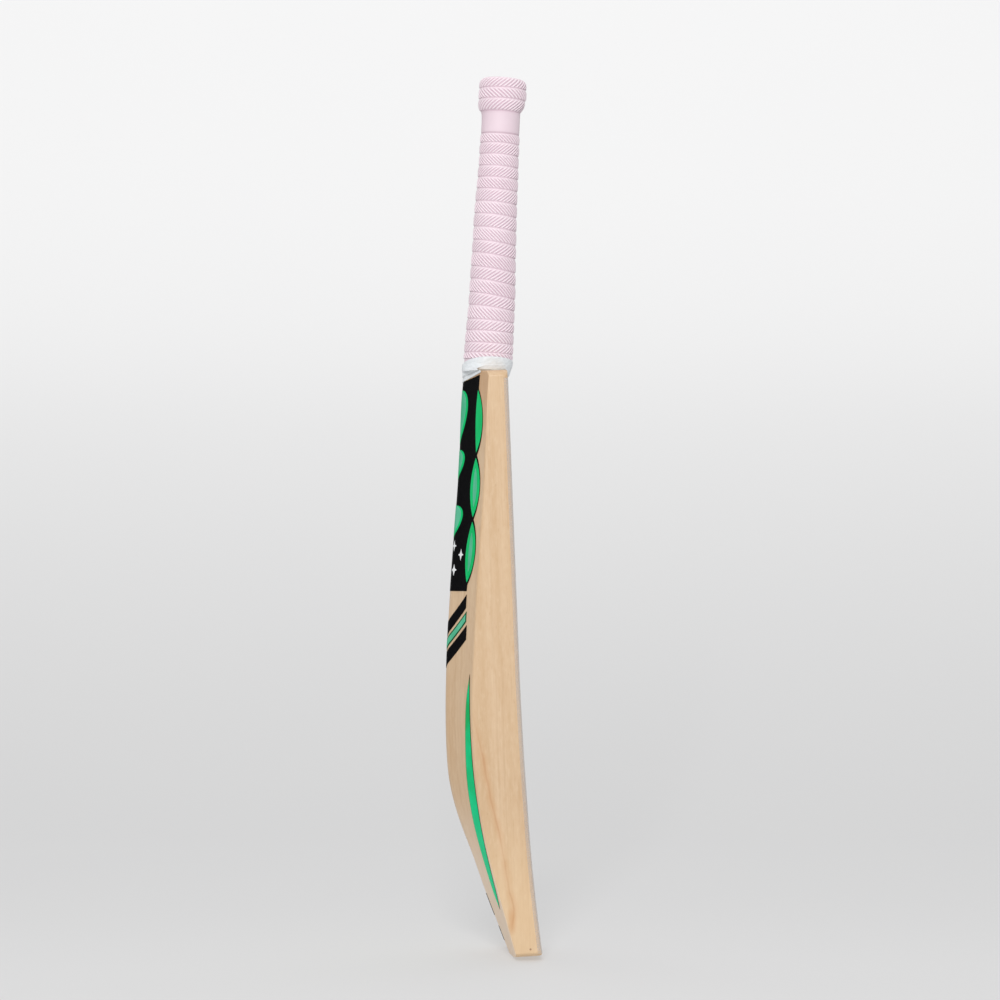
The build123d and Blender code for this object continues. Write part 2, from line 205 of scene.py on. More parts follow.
def toe_outline():
    """Right half of the outline at the toe, as (x, height)."""
    reach = OUTLINE_HALF - TOE_CORNER - TOE_FLAT
    lean = math.asin(reach / TOE_ARC)
    corner = TOE_CORNER / (1 - math.sin(lean))
    hub_x = OUTLINE_HALF - corner
    hub_z = TOE_ARC * (1 - math.cos(lean)) + corner * math.cos(lean)
    t = np.linspace(0, lean, 25)
    low = np.stack([TOE_FLAT + TOE_ARC * np.sin(t), LIFT + TOE_ARC * (1 - np.cos(t))], -1)
    t = np.linspace(lean - math.pi / 2, 0, 25)[1:]
    side = np.stack([hub_x + corner * np.cos(t), LIFT + hub_z + corner * np.sin(t)], -1)
    return np.concatenate([low, side])


def shoulder_height(angle):
    return SHOULDER_Z - SHOULDER_DROP + SHOULDER_ROUND * np.sin(angle)


def shoulder_outline():
    """Right half of the outline at the shoulder, as (x, height)."""
    t = np.linspace(0, math.pi / 2, 30)
    x = OUTLINE_HALF - SHOULDER_ROUND + SHOULDER_ROUND * np.cos(t)
    return np.concatenate([np.stack([x, shoulder_height(t)], -1), [(20.0, SHOULDER_Z)]])


TOE_LINE, SHOULDER_LINE = toe_outline(), shoulder_outline()


def outline_width(z):
    """Half width allowed by the outline at a height."""
    low = np.interp(z, TOE_LINE[:, 1], TOE_LINE[:, 0])
    high = np.interp(z, SHOULDER_LINE[:, 1], SHOULDER_LINE[:, 0])
    return np.minimum(low, high)


def lift(x, z, height, side=1):
    """Points on the back (side 1) or face (side -1), raised along the surface normal."""
    surface = back_y if side > 0 else face_y
    e = 0.05
    dx = (surface(x + e, z) - surface(x - e, z)) / (2 * e)
    dz = (surface(x, z + e) - surface(x, z - e)) / (2 * e)
    normal = np.stack([-dx * side, np.full_like(dx, side), -dz * side], -1)
    normal /= np.linalg.norm(normal, axis=-1, keepdims=True)
    return np.stack([x, surface(x, z), z], -1) + normal * np.asarray(height)[..., None]


# ------------------------------------------------------------------ mesh helpers
def new_object(name, verts, faces, weld=None, sharp=None, shade_smooth=True):
    """Object from points in mm; weld is a distance in mm, sharp an angle in degrees."""
    mesh = bpy.data.meshes.new(name)
    points = (np.asarray(verts, float) - np.array([0, 0, LIFT])) * MM
    mesh.from_pydata([tuple(p) for p in points], [], faces)
    bm = bmesh.new()
    bm.from_mesh(mesh)
    if weld:
        bmesh.ops.remove_doubles(bm, verts=bm.verts, dist=weld * MM)
        bmesh.ops.dissolve_degenerate(bm, dist=1e-7, edges=bm.edges)
    bmesh.ops.recalc_face_normals(bm, faces=bm.faces)
    bm.to_mesh(mesh)
    bm.free()
    ob = bpy.data.objects.new(name, mesh)
    bpy.context.scene.collection.objects.link(ob)
    if shade_smooth:
        mesh.shade_smooth()
    if sharp is not None:
        mesh.set_sharp_from_angle(angle=math.radians(sharp))
    return ob


def grid_faces(rows, columns, first=0, wrap=False, flip=False):
    """Quads over a grid of points; wrap joins the last column to the first."""
    faces = []
    for j in range(rows - 1):
        for i in range(columns if wrap else columns - 1):
            start = first + j * columns
            after = (i + 1) % columns
            quad = (start + i, start + after, start + columns + after, start + columns + i)
            faces.append(quad[::-1] if flip else quad)
    return faces


def shell(name, top, bottom, weld=0.002, sharp=40):
    """A closed sheet between two grids of the same shape (rows, columns, 3)."""
    rows, columns, _ = top.shape
    verts = np.concatenate([top.reshape(-1, 3), bottom.reshape(-1, 3)])
    under = rows * columns
    faces = grid_faces(rows, columns) + grid_faces(rows, columns, under, flip=True)
    for i in range(columns - 1):
        faces.append((i + 1, i, under + i, under + i + 1))
        a = (rows - 1) * columns + i
        faces.append((a, a + 1, under + a + 1, under + a))
    for j in range(rows - 1):
        a, b = j * columns, (j + 1) * columns
        faces.append((a, b, under + b, under + a))
        a, b = a + columns - 1, b + columns - 1
        faces.append((b, a, under + a, under + b))
    return new_object(name, verts, faces, weld=weld, sharp=sharp)


def closed_tube(name, rings):
    """Rings joined one to the next, and the last back to the first."""
    rings = np.array(rings)
    rows, columns, _ = rings.shape
    faces = grid_faces(rows, columns, wrap=True)
    last = (rows - 1) * columns
    for i in range(columns):
        after = (i + 1) % columns
        faces.append((last + i, last + after, after, i))
    return new_object(name, rings.reshape(-1, 3), faces)


def join(name, parts):
    """Joins objects into one new object."""
    bm = bmesh.new()
    for part in parts:
        bm.from_mesh(part.data)
    mesh = bpy.data.meshes.new(name)
    bm.to_mesh(mesh)
    bm.free()
    ob = bpy.data.objects.new(name, mesh)
    bpy.context.scene.collection.objects.link(ob)
    for part in parts:
        bpy.data.objects.remove(part)
    return ob


def patch(name, first, second, columns, heights, power, side=1, ends=True):
    """A sheet on the blade between two boundary curves of (x, z) points.

    heights are those of its underside, rim and middle above the wood. A higher power
    keeps the middle flat nearer to the rim; ends lets it fall at both ends too.
    """
    # pointed ends stay a little blunt, so that no face has zero width
    across = second - first
    gap = np.linalg.norm(across, axis=1)
    sideways = np.array([np.sign(across[:, 0].sum()), 0.0])
    way = np.where(
        (gap > 0.02)[:, None], across / np.maximum(gap, 1e-9)[:, None], sideways)
    more = np.maximum(0.01 * columns - gap, 0)[:, None] * way / 2
    first, second = first - more, second + more
    rows = len(first)
    s = np.linspace(0, 1, columns)
    grid = first[:, None] * (1 - s)[None, :, None] + second[:, None] * s[None, :, None]
    x, z = grid[..., 0], grid[..., 1]
    fall = np.abs(2 * s - 1)[None, :] ** power
    end_fall = (np.abs(np.linspace(-1, 1, rows)) ** (power * 3))[:, None] if ends else 0
    under, rim, crown = heights
    top = lift(x, z, rim + (crown - rim) * (1 - fall) * (1 - end_fall), side)
    return shell(name, top, lift(x, z, under, side), sharp=50)


def inset_strip(first, second, distance):
    """Moves two boundary curves towards each other, and shortens the strip's ends."""
    gap = np.linalg.norm(second - first, axis=1)
    keep = gap > 2 * distance + 0.15
    first, second, gap = first[keep], second[keep], gap[keep]
    step = (second - first) / gap[:, None] * distance
    return first + step, second - step


# ------------------------------------------------------------------ shader helpers
def srgb(*levels):
    """Linear colour with alpha from 0..255 levels."""
    def linear(level):
        level /= 255
        return level / 12.92 if level <= 0.04045 else ((level + 0.055) / 1.055) ** 2.4
    return (*map(linear, levels), 1.0)


class Value:
    """A shader output; arithmetic on it adds nodes."""

    def __init__(self, shader, socket):
        self.shader, self.socket = shader, socket

    def math(self, operation, other=None, clamp=False):
        return self.shader.math(operation, self, other, clamp)

    def __add__(self, other):
        return self.math("ADD", other)

    def __radd__(self, other):
        return self.shader.math("ADD", other, self)

    def __sub__(self, other):
        return self.math("SUBTRACT", other)

    def __mul__(self, other):
        return self.math("MULTIPLY", other)

    def __abs__(self):
        return self.math("ABSOLUTE")

    def wave(self, pitch):
        return (self * (2 * math.pi / pitch)).math("SINE")

    def ramp(self, between, to=(0.0, 1.0), mode="SMOOTHSTEP"):
        """Carries one range of values to another."""
        inputs = dict(enumerate((self, *between, *to)))
        return self.shader.node("ShaderNodeMapRange", inputs, interpolation_type=mode)

    def tint(self, amount, color):
        return self.shader.mix(amount, self, color)


class Shader:
    """A material with one Principled surface."""

    SOCKETS = {
        "color": "Base Color", "roughness": "Roughness", "normal": "Normal",
        "coat": "Coat Weight", "coat_roughness": "Coat Roughness", "alpha": "Alpha",
        "specular": "Specular IOR Level", "glow_color": "Emission Color",
        "glow": "Emission Strength",
    }

    def __init__(self, name):
        self.material = bpy.data.materials.new(name)
        self.material.use_nodes = True
        self.tree = self.material.node_tree
        self.tree.nodes.clear()
        output = self.tree.nodes.new("ShaderNodeOutputMaterial")
        self.surface_node = self.tree.nodes.new("ShaderNodeBsdfPrincipled")
        self.tree.links.new(self.surface_node.outputs[0], output.inputs[0])
        # heights count from LIFT below the toe end here too
        raised = {0: self.node("ShaderNodeTexCoord", output="Object"), 1: (0, 0, LIFT * MM)}
        self.position = self.node("ShaderNodeVectorMath", raised, operation="ADD")

    def feed(self, socket, value):
        if isinstance(value, Value):
            self.tree.links.new(value.socket, socket)
        else:
            socket.default_value = value

    def node(self, kind, inputs=None, output=0, **settings):
        """Adds a node, feeds its inputs by index or name and gives one output."""
        node = self.tree.nodes.new(kind)
        for key, value in settings.items():
            setattr(node, key, value)
        for key, value in (inputs or {}).items():
            self.feed(node.inputs[key], value)
        return Value(self, node.outputs[output])

    def axes(self, vector):
        x = self.node("ShaderNodeSeparateXYZ", {0: vector})
        return [Value(self, socket) for socket in x.socket.node.outputs]

    def math(self, operation, first, second=None, clamp=False):
        inputs = {0: first} if second is None else {0: first, 1: second}
        return self.node("ShaderNodeMath", inputs, operation=operation, use_clamp=clamp)

    def noise(self, scale, detail=3.0, roughness=0.5):
        """Noise with its own scale, per metre, along each axis."""
        vector = self.node(
            "ShaderNodeVectorMath", {0: self.position, 1: scale}, operation="MULTIPLY")
        inputs = {"Vector": vector, "Scale": 1.0, "Detail": detail, "Roughness": roughness}
        return self.node("ShaderNodeTexNoise", inputs, "Fac")

    def mix(self, amount, first, second):
        inputs = {0: amount, 6: first, 7: second}
        return self.node("ShaderNodeMix", inputs, 2, data_type="RGBA")

    def curve(self, value, points):
        """Float curve through (0..1, 0..1) points."""
        result = self.node("ShaderNodeFloatCurve", {"Value": value})
        mapping = result.socket.node.mapping
        curve_points = mapping.curves[0].points
        while len(curve_points) < len(points):
            curve_points.new(0.5, 0.5)
        for point, place in zip(curve_points, points):
            point.location = place
        mapping.update()
        return result

    def bump(self, height, distance, strength):
        inputs = {"Distance": distance, "Strength": strength, "Height": height}
        return self.node("ShaderNodeBump", inputs)

    def finish(self, **values):
        for key, value in values.items():
            self.feed(self.surface_node.inputs[self.SOCKETS[key]], value)
        return self.material


# ------------------------------------------------------------------ materials
# the vein on the -X edge: height in m, y in mm
VEIN = (
    (0.010, 17.2), (0.0337, 16.6), (0.0506, 14.3), (0.0717, 18.0), (0.0956, 21.0),
    (0.1262, 25.5), (0.1569, 31.9), (0.2009, 38.8), (0.2268, 44.0), (0.250, 49.0),
)
VEIN_FOOT, VEIN_RISE, VEIN_DEPTH = 0.010, 0.240, 60.0  # m, m, and the curve's y range in mm
RING_PITCH = 0.0112  # between growth lines


def make_willow():
    wood = Shader("willow_wood")
    x, y, z = wood.axes(wood.position)
    # growth lines that wander slowly along the blade
    wander = wood.noise((9, 9, 2.2), detail=2.0, roughness=0.4)
    ripple = wood.noise((60, 60, 5.0), detail=2.0)
    ring = x * (1 / RING_PITCH) + (
        (wander - 0.5) * 1.6 + ((ripple - 0.5) * 0.30 + y * 9.0))
    phase = ring.math("FRACT")
    line = phase.ramp(between=(0.70, 0.97)) * phase.ramp(between=(1.0, 0.975))
    # fibres along the blade, from fine to broad, and blotches
    fine = wood.noise((1500, 1500, 22), detail=4.0, roughness=0.6)
    fibre = wood.noise((420, 420, 7), detail=4.0, roughness=0.55)
    broad = wood.noise((95, 95, 3.0))
    patchy = wood.noise((18, 18, 6.0))
    flecks = wood.noise((900, 900, 130), detail=2.0)
    mottle = wood.noise((330, 330, 105), roughness=0.55)

    def layered(color, layers):
        """Tints with each layer: source, its range, strength, colour."""
        for source, between, strength, tone in layers:
            color = color.tint(source.ramp(between) * strength, srgb(*tone))
        return color

    color = wood.mix(
        broad.ramp(between=(0.30, 0.72)), srgb(224, 193, 157), srgb(215, 181, 142))
    color = layered(color, (
        (patchy, (0.40, 0.75), 0.40, (231, 203, 168)),
        (mottle, (0.50, 0.72), 0.20, (204, 162, 116)),
        (mottle, (0.48, 0.28), 0.22, (240, 216, 184)),
    ))
    line_strength = patchy.ramp(between=(0.3, 0.7), to=(0.05, 0.22))
    color = color.tint(line * line_strength, srgb(186, 140, 98))
    color = layered(color, (
        (fibre, (0.52, 0.76), 0.22, (190, 150, 108)),
        (fine, (0.55, 0.80), 0.26, (178, 136, 96)),
        (fine, (0.45, 0.25), 0.18, (240, 216, 184)),
        (flecks, (0.68, 0.78), 0.30, (170, 124, 84)),
    ))
    # the back is darker beside the shoulders, and the wood is paler towards the toe; near the
    # toe the back faces are lightened further with painted light
    backward = wood.axes(wood.node("ShaderNodeNewGeometry", output="Normal"))[1]
    upper_back = backward.ramp(between=(0.55, 0.8)) * z.ramp(between=(0.47, 0.56))
    painted_light_toe_back = backward.ramp(between=(0.50, 0.70)) * z.ramp(between=(0.180, 0.060))
    color = color.tint(upper_back * 0.62, srgb(194, 148, 102))
    color = color.tint(z.ramp(between=(0.170, 0.040)) * 0.42, srgb(247, 214, 170))
    # painted light: the back faces near the toe are lightened by their facing
    color = color.tint(painted_light_toe_back * 0.60, srgb(252, 232, 212))

    # a curved reddish vein on the -X edge, with a soft halo
    height = (z - VEIN_FOOT).math("DIVIDE", VEIN_RISE, clamp=True)
    points = [((h - VEIN_FOOT) / VEIN_RISE, depth / VEIN_DEPTH) for h, depth in VEIN]
    vein_y = wood.curve(height, points) * (VEIN_DEPTH * MM)
    wobble = (wood.noise((60, 60, 60), detail=2.0) - 0.5) * 0.0016
    distance = abs((y - vein_y) + wobble)
    on_edge = abs(x).ramp(between=(0.0515, 0.0532)) * x.ramp(between=(0.01, -0.01))
    soft = distance + (wood.noise((260, 260, 40)) - 0.5) * 0.0018
    core = soft.ramp(between=(0.0014, 0.0001)) * on_edge
    halo = soft.ramp(between=(0.0060, 0.0004)) * on_edge
    fade = z.ramp(between=(0.262, 0.190)) * z.ramp(between=(0.024, 0.040))
    breaks = wood.noise((10, 10, 38), detail=2.0)
    strength = fade * breaks.ramp(between=(0.25, 0.6), to=(0.45, 1.0))
    color = color.tint(halo * strength * 0.30, srgb(214, 160, 110))
    color = color.tint(core * strength * 0.30, srgb(190, 128, 84))
    # a warm blotch where the vein runs out near the toe
    blotch = (abs(y - 0.0165).ramp(between=(0.0050, 0.0008))
              * abs(z - 0.041).ramp(between=(0.016, 0.004)))
    color = color.tint(blotch * on_edge * 0.40, srgb(216, 160, 108))
    # a pin knot near the toe on the same edge
    flat = wood.node("ShaderNodeCombineXYZ", {0: x * 0.0, 1: y, 2: z})
    knot_place = (0.0, -0.0002, 0.0134)
    knot = wood.node(
        "ShaderNodeVectorMath", {0: flat, 1: knot_place}, 1, operation="DISTANCE")
    knot_mask = knot.ramp(between=(0.0013, 0.0005)) * on_edge * 0.75
    color = color.tint(knot_mask, srgb(140, 88, 60))

    relief = fine * 0.6 + (fibre * 0.8 + line * 0.25)
    return wood.finish(
        color=color, roughness=fibre.ramp(between=(0.3, 0.7), to=(0.42, 0.56)),
        specular=0.42, normal=wood.bump(relief, distance=0.00009, strength=0.55),
        coat=0.06, coat_roughness=0.35)


def make_cane():
    cane = Shader("handle_cane")
    pores = cane.noise((1300, 1300, 25), roughness=0.6)
    tone = cane.noise((160, 160, 4))
    color = cane.mix(tone.ramp(between=(0.3, 0.7)), srgb(206, 172, 118), srgb(186, 146, 92))
    color = color.tint(pores.ramp(between=(0.56, 0.70)) * 0.75, srgb(118, 78, 42))
    return cane.finish(color=color, roughness=0.5, specular=0.4,
                       normal=cane.bump(pores, distance=0.0001, strength=0.5))


def make_spring_rubber():
    rubber = Shader("spring_rubber")
    grain = rubber.noise((900, 900, 900))
    return rubber.finish(
        color=rubber.mix(grain, srgb(62, 44, 34), srgb(84, 60, 46)), roughness=0.8,
        normal=rubber.bump(grain, distance=0.00005, strength=0.5))


def make_twine():
    twine = Shader("waxed_twine")
    _, y, z = twine.axes(twine.position)
    # turns of thread square to the handle's axis
    turns = (z + y * 0.092).wave(pitch=0.00078)
    fuzz = twine.noise((1200, 1200, 2600))
    color = twine.mix(fuzz, srgb(214, 196, 158), srgb(188, 166, 124))
    color = color.tint(turns.ramp(between=(-0.2, -0.95)) * 0.7, srgb(120, 98, 66))
    return twine.finish(color=color, roughness=0.62,
                        normal=twine.bump(turns + fuzz, distance=0.00025, strength=0.8))


def make_grip_rubber():
    rubber = Shader("grip_rubber")
    cloud = rubber.noise((34, 34, 34))
    speck = rubber.noise((1500, 1500, 1500), roughness=0.65)
    color = rubber.mix(
        cloud.ramp(between=(0.35, 0.7)), srgb(250, 232, 240), srgb(246, 226, 235))
    # relief is positive in the grooves and negative on the ribs: painted shade darkens the
    # grooves and a painted highlight whitens the rib crests
    relief = rubber.node("ShaderNodeAttribute", output="Fac", attribute_name="relief")
    groove = relief.ramp(between=(0.0, 1.0), mode="LINEAR")
    painted_rib_highlight = relief.ramp(between=(0.0, -0.55), mode="LINEAR")
    color = color.tint(groove * 0.66, srgb(194, 162, 177))
    color = color.tint(painted_rib_highlight * 0.75, srgb(253, 243, 248))
    color = color.tint(speck.ramp(between=(0.62, 0.75)) * 0.16, srgb(250, 238, 244))
    return rubber.finish(
        color=color, roughness=speck.ramp(between=(0.3, 0.7), to=(0.50, 0.64)),
        specular=0.45, normal=rubber.bump(speck, distance=0.00006, strength=0.55))


def make_tape():
    cloth = Shader("cloth_tape")
    x, y, z = cloth.axes(cloth.position)
    rows = (z + y * 0.3).wave(pitch=0.0006)
    around = (y - 0.0155).math("ARCTAN2", x)
    columns = (around * (2 * math.pi * 34)).math("SINE")
    weave = (rows + columns) * 0.5
    wear = cloth.noise((300, 300, 900), detail=4.0, roughness=0.6)
    color = cloth.mix(
        wear.ramp(between=(0.35, 0.7)), srgb(239, 243, 246), srgb(228, 232, 235))
    # painted shade: creases and hollows are darkened by ambient occlusion
    occlusion_for_painted_shade = cloth.node("ShaderNodeAmbientOcclusion", {"Distance": 0.002}, "AO", samples=6)
    color = color.tint(occlusion_for_painted_shade.ramp(between=(0.95, 0.5)) * 0.5, srgb(182, 184, 176))
    return cloth.finish(
        color=color, roughness=0.42, specular=0.5,
        normal=cloth.bump(weave * 0.5 + wear, distance=0.00007, strength=0.5))


def make_film():
    film = Shader("clear_film")
    x, _, z = film.axes(film.position)
    # threads inside the sheet, 2.5 mm apart both ways
    upright, level = (
        axis.math("PINGPONG", 0.00125).ramp(between=(0.00012, 0.00003)) for axis in (x, z))
    threads = upright.math("MAXIMUM", level)
    cloud = film.noise((60, 60, 12))
    alpha = 0.16 + threads * 0.20 + cloud.ramp(between=(0.4, 0.8)) * 0.05
    # painted reflection: the sheet grows more opaque, and so paler, at grazing angles
    painted_grazing_reflection = film.node("ShaderNodeLayerWeight", {"Blend": 0.35}, "Facing")
    alpha = alpha.math("ADD", painted_grazing_reflection * 0.5, clamp=True)
    return film.finish(
        color=srgb(238, 235, 232), roughness=0.25, specular=0.5, alpha=alpha,
        normal=film.bump(threads + cloud, distance=0.00005, strength=0.4))


def make_black():
    vinyl = Shader("black_vinyl")
    x, _, z = vinyl.axes(vinyl.position)
    weave = ((x + z).wave(pitch=0.0011) + (x - z).wave(pitch=0.0011)) * 0.5
    grain = vinyl.noise((900, 900, 900), roughness=0.6)
    color = vinyl.mix(weave.ramp(between=(0.1, 0.9)), srgb(4, 4, 6), srgb(10, 10, 12))
    color = color.tint(grain.ramp(between=(0.62, 0.74)) * 0.6, srgb(30, 30, 35))
    return vinyl.finish(
        color=color, roughness=grain.ramp(between=(0.3, 0.7), to=(0.56, 0.72)),
        specular=0.03, normal=vinyl.bump(weave + grain, distance=0.00006, strength=0.6))


def make_foil(name, first, second, roughness, speck):
    """Foil that drifts between two colours, with paler specks."""
    foil = Shader(name)
    grain = foil.noise((1400, 1400, 1400), roughness=0.6)
    tone = foil.noise((70, 70, 30))
    color = foil.mix(tone.ramp(between=(0.32, 0.7)), first, second)
    paler = tuple(min(1.0, level * 1.9 + 0.06) for level in first)
    color = color.tint(grain.ramp(between=(0.6, 0.78)) * speck, paler)
    spread = (roughness - 0.06, roughness + 0.08)
    return foil.finish(
        color=color, roughness=grain.ramp(between=(0.3, 0.7), to=spread), specular=0.04,
        coat_roughness=0.25, normal=foil.bump(grain, distance=0.00003, strength=0.5))


def make_stripe():
    foil = Shader("stripe_foil")
    z = foil.axes(foil.position)[2]
    # green that brightens towards the toe end of the stripe
    grain = foil.noise((1100, 1100, 500), roughness=0.6)
    tone = foil.noise((20, 20, 26), detail=2.0)
    color = foil.mix(z.ramp(between=(0.245, 0.09)), srgb(0, 186, 100), srgb(0, 222, 150))
    color = color.tint(tone.ramp(between=(0.45, 0.62)) * 0.5, srgb(0, 232, 160))
    color = color.tint(grain.ramp(between=(0.58, 0.76)) * 0.18, srgb(120, 235, 180))
    return foil.finish(color=color, roughness=0.42, specular=0.05, coat_roughness=0.2,
                       normal=foil.bump(grain, distance=0.00003, strength=0.5))


def make_white():
    vinyl = Shader("white_vinyl")
    grain = vinyl.noise((800, 800, 800))
    return vinyl.finish(
        color=vinyl.mix(grain, srgb(250, 251, 252), srgb(240, 242, 243)), roughness=0.4,
        normal=vinyl.bump(grain, distance=0.00003, strength=0.4))


WILLOW, CANE, SPRING, TWINE = make_willow(), make_cane(), make_spring_rubber(), make_twine()
GRIP, TAPE, FILM, BLACK = make_grip_rubber(), make_tape(), make_film(), make_black()
GREEN = make_foil("green_foil", srgb(0, 208, 118), srgb(0, 190, 104),
                  roughness=0.40, speck=0.08)
DEEP = make_foil("deep_green_foil", srgb(0, 92, 56), srgb(0, 72, 44),
                 roughness=0.42, speck=0.08)
SAGE = make_foil("sage_foil", srgb(104, 200, 162), srgb(78, 184, 140),
                 roughness=0.50, speck=0.45)
STRIPE, WHITE = make_stripe(), make_white()


def finish(ob, material, slot, *replaced):
    ob.data.materials.clear()
    ob.data.materials.append(material)
    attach(ob, "root")
    if replaced:
        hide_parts(*replaced)


# ------------------------------------------------------------------ blade
# points along each part of a half section: face, face corner, side, back corner,
# back slope, spine
PART_COUNTS = (26, 8, 16, 7, 30, 8)
RIM_ROUND = 1.6  # rounding at the toe end and the top of the shoulders
# the V that takes the handle: foot, radius of its rounded tip, half width at the top
TIP_Z, TIP_ROUND, MOUTH_HALF = 421.0, 2.4, 17.0
GLUE_GAP = 0.05


def half_section(z, outline):
    """x and y from the middle of the face round to the spine; z varies over the points."""
    part = np.append(np.repeat(np.arange(6), PART_COUNTS), 5)
    t = np.concatenate([np.arange(count) / count for count in PART_COUNTS] + [[1.0]])
    width = np.minimum(width_at(z), outline)
    radius = np.minimum(FACE_ROUND, width * 0.4)
    hub_y = face_y(width - radius, z) + radius
    turn = t * math.pi / 2
    back_width = width - DRAFT
    corner_y = back_y(back_width, z)
    # the back corner sharpens towards the shoulder
    back_round = 2.2 - 1.4 * smooth(470, 540, z)
    slope = back_y(back_width - 1.0, z) - corner_y
    cos = 1 / np.sqrt(1 + slope**2)
    side_top = corner_y - back_round
    slope_x = back_width - back_round * cos
    slope_y = corner_y + back_round * slope * cos

    def corner(start, middle, end):
        return (1 - t) ** 2 * start + 2 * t * (1 - t) * middle + t * t * end

    x = np.choose(part, [
        t * (width - radius),
        width - radius + radius * np.sin(turn),
        width + (back_width - width) * t,
        corner(back_width, back_width, slope_x),
        slope_x + (SPINE - slope_x) * t,
        SPINE * (1 - t),
    ])
    back = back_y(x, z)
    y = np.choose(part, [
        face_y(x, z),
        hub_y - radius * np.cos(turn),
        hub_y + (side_top - hub_y) * t,
        corner(side_top, corner_y, slope_y),
        back,
        back,
    ])
    return x, y


def rim_rounding(x, z):
    """How far the face and back draw in close to the toe end and the shoulder top."""
    foot = np.interp(x, TOE_LINE[:, 0], TOE_LINE[:, 1])
    head = np.interp(-x, -SHOULDER_LINE[:, 0], SHOULDER_LINE[:, 1])
    depth = np.clip(np.minimum(z - foot, head - z), 0, RIM_ROUND)
    return RIM_ROUND - np.sqrt(RIM_ROUND**2 - (RIM_ROUND - depth) ** 2)


def blade_ring(height):
    """One closed ring of the blade. Near the toe it leans with the toe end."""
    lean = 1 - smooth(20, 75, height)
    outline = outline_width(height)
    z = np.full(sum(PART_COUNTS) + 1, float(height))
    for _ in range(5):
        x, y = half_section(z, outline)
        z = height - y * TOE_TAN * lean
    face, back = face_y(x, z), back_y(x, z)
    center, half = 0.5 * (face + back), 0.5 * (back - face)
    y = center + (y - center) * (1 - rim_rounding(np.abs(x), height) / np.maximum(half, 3.0))
    right = np.stack([x, y, z], -1)
    return np.concatenate([right, right[1:-1][::-1] * np.array([-1, 1, 1])])


def splice_width(z):
    """Half width of the V at a height."""
    run = SHOULDER_Z + 1 - TIP_Z - TIP_ROUND
    flank = TIP_ROUND + (MOUTH_HALF - TIP_ROUND) * (z - TIP_Z - TIP_ROUND) / run
    t = np.clip((z - TIP_Z) / TIP_ROUND, 0, 1)
    nose = TIP_ROUND * np.sqrt(np.maximum(1 - (1 - t) ** 2, 0))
    return np.where(z < TIP_Z + TIP_ROUND, nose, flank)


def splice_cutter():
    """A prism along Y in the shape of the V, with a glue line's gap left round it."""
    tip = TIP_Z + TIP_ROUND * (1 - np.cos(np.linspace(0.25, math.pi / 2, 6)))
    half = [(0.0, TIP_Z - GLUE_GAP)]
    for z in np.concatenate([tip, [500.0, 575.0]]):
        half.append((float(splice_width(z)) + GLUE_GAP, float(z)))
    profile = half + [(-x, z) for x, z in half[::-1][:-1]]
    n = len(profile)
    verts = [(x, y, z) for y in (-40.0, 90.0) for x, z in profile]
    faces = [tuple(range(n)), tuple(range(2 * n - 1, n - 1, -1))]
    faces += [(i, n + i, n + (i + 1) % n, (i + 1) % n) for i in range(n)]
    return new_object("splice_cutter", verts, faces, shade_smooth=False)


def cut_splice(blade):
    """Cuts the V out of the blade and cleans the cut."""
    cutter = splice_cutter()
    modifier = blade.modifiers.new("splice", "BOOLEAN")
    modifier.operation = "DIFFERENCE"
    modifier.solver = "EXACT"
    modifier.object = cutter
    depsgraph = bpy.context.evaluated_depsgraph_get()
    mesh = bpy.data.meshes.new_from_object(blade.evaluated_get(depsgraph))
    blade.modifiers.clear()
    bm = bmesh.new()
    bm.from_mesh(mesh)
    bmesh.ops.remove_doubles(bm, verts=bm.verts, dist=3e-6)
    bmesh.ops.dissolve_degenerate(bm, edges=bm.edges, dist=2e-6)
    bmesh.ops.triangulate(bm, faces=bm.faces)
    # hairline slivers folded flat on themselves at the mouth of the V: both sides go
    groups = {}
    for face in bm.faces:
        groups.setdefault(frozenset(v.index for v in face.verts), []).append(face)
    folded = [face for group in groups.values() if len(group) == 2 for face in group]
    bmesh.ops.delete(bm, geom=folded, context="FACES")
    bm.to_mesh(mesh)
    bm.free()
    blade.data = mesh
    bpy.data.objects.remove(cutter)
    mesh.shade_smooth()
    mesh.set_sharp_from_angle(angle=math.radians(38))


def build_blade():
    toe_heights = TOE_LINE[1:-1, 1]
    heights = np.concatenate([
        LIFT + np.array([0, 0.03, 0.10, 0.2, 0.35, 0.55, 0.8]),
        toe_heights[toe_heights > LIFT + 1.0],
        np.linspace(14.5, 90, 24), np.linspace(95, 300, 42), np.linspace(305, 553, 46),
        shoulder_height(np.linspace(0.09, 1.40, 15)),
        SHOULDER_Z - np.array([1.0, 0.8, 0.6, 0.4, 0.22, 0.1, 0.03, 0]),
    ])
    rings = np.array([blade_ring(height) for height in heights])
    rows, columns, _ = rings.shape
    faces = grid_faces(rows, columns, wrap=True)
    faces.append(tuple(range(columns))[::-1])
    faces.append(tuple((rows - 1) * columns + i for i in range(columns)))
    blade = new_object("blade_body", rings.reshape(-1, 3), faces, sharp=38)
    cut_splice(blade)
    finish(blade, WILLOW, "willow", "blade")


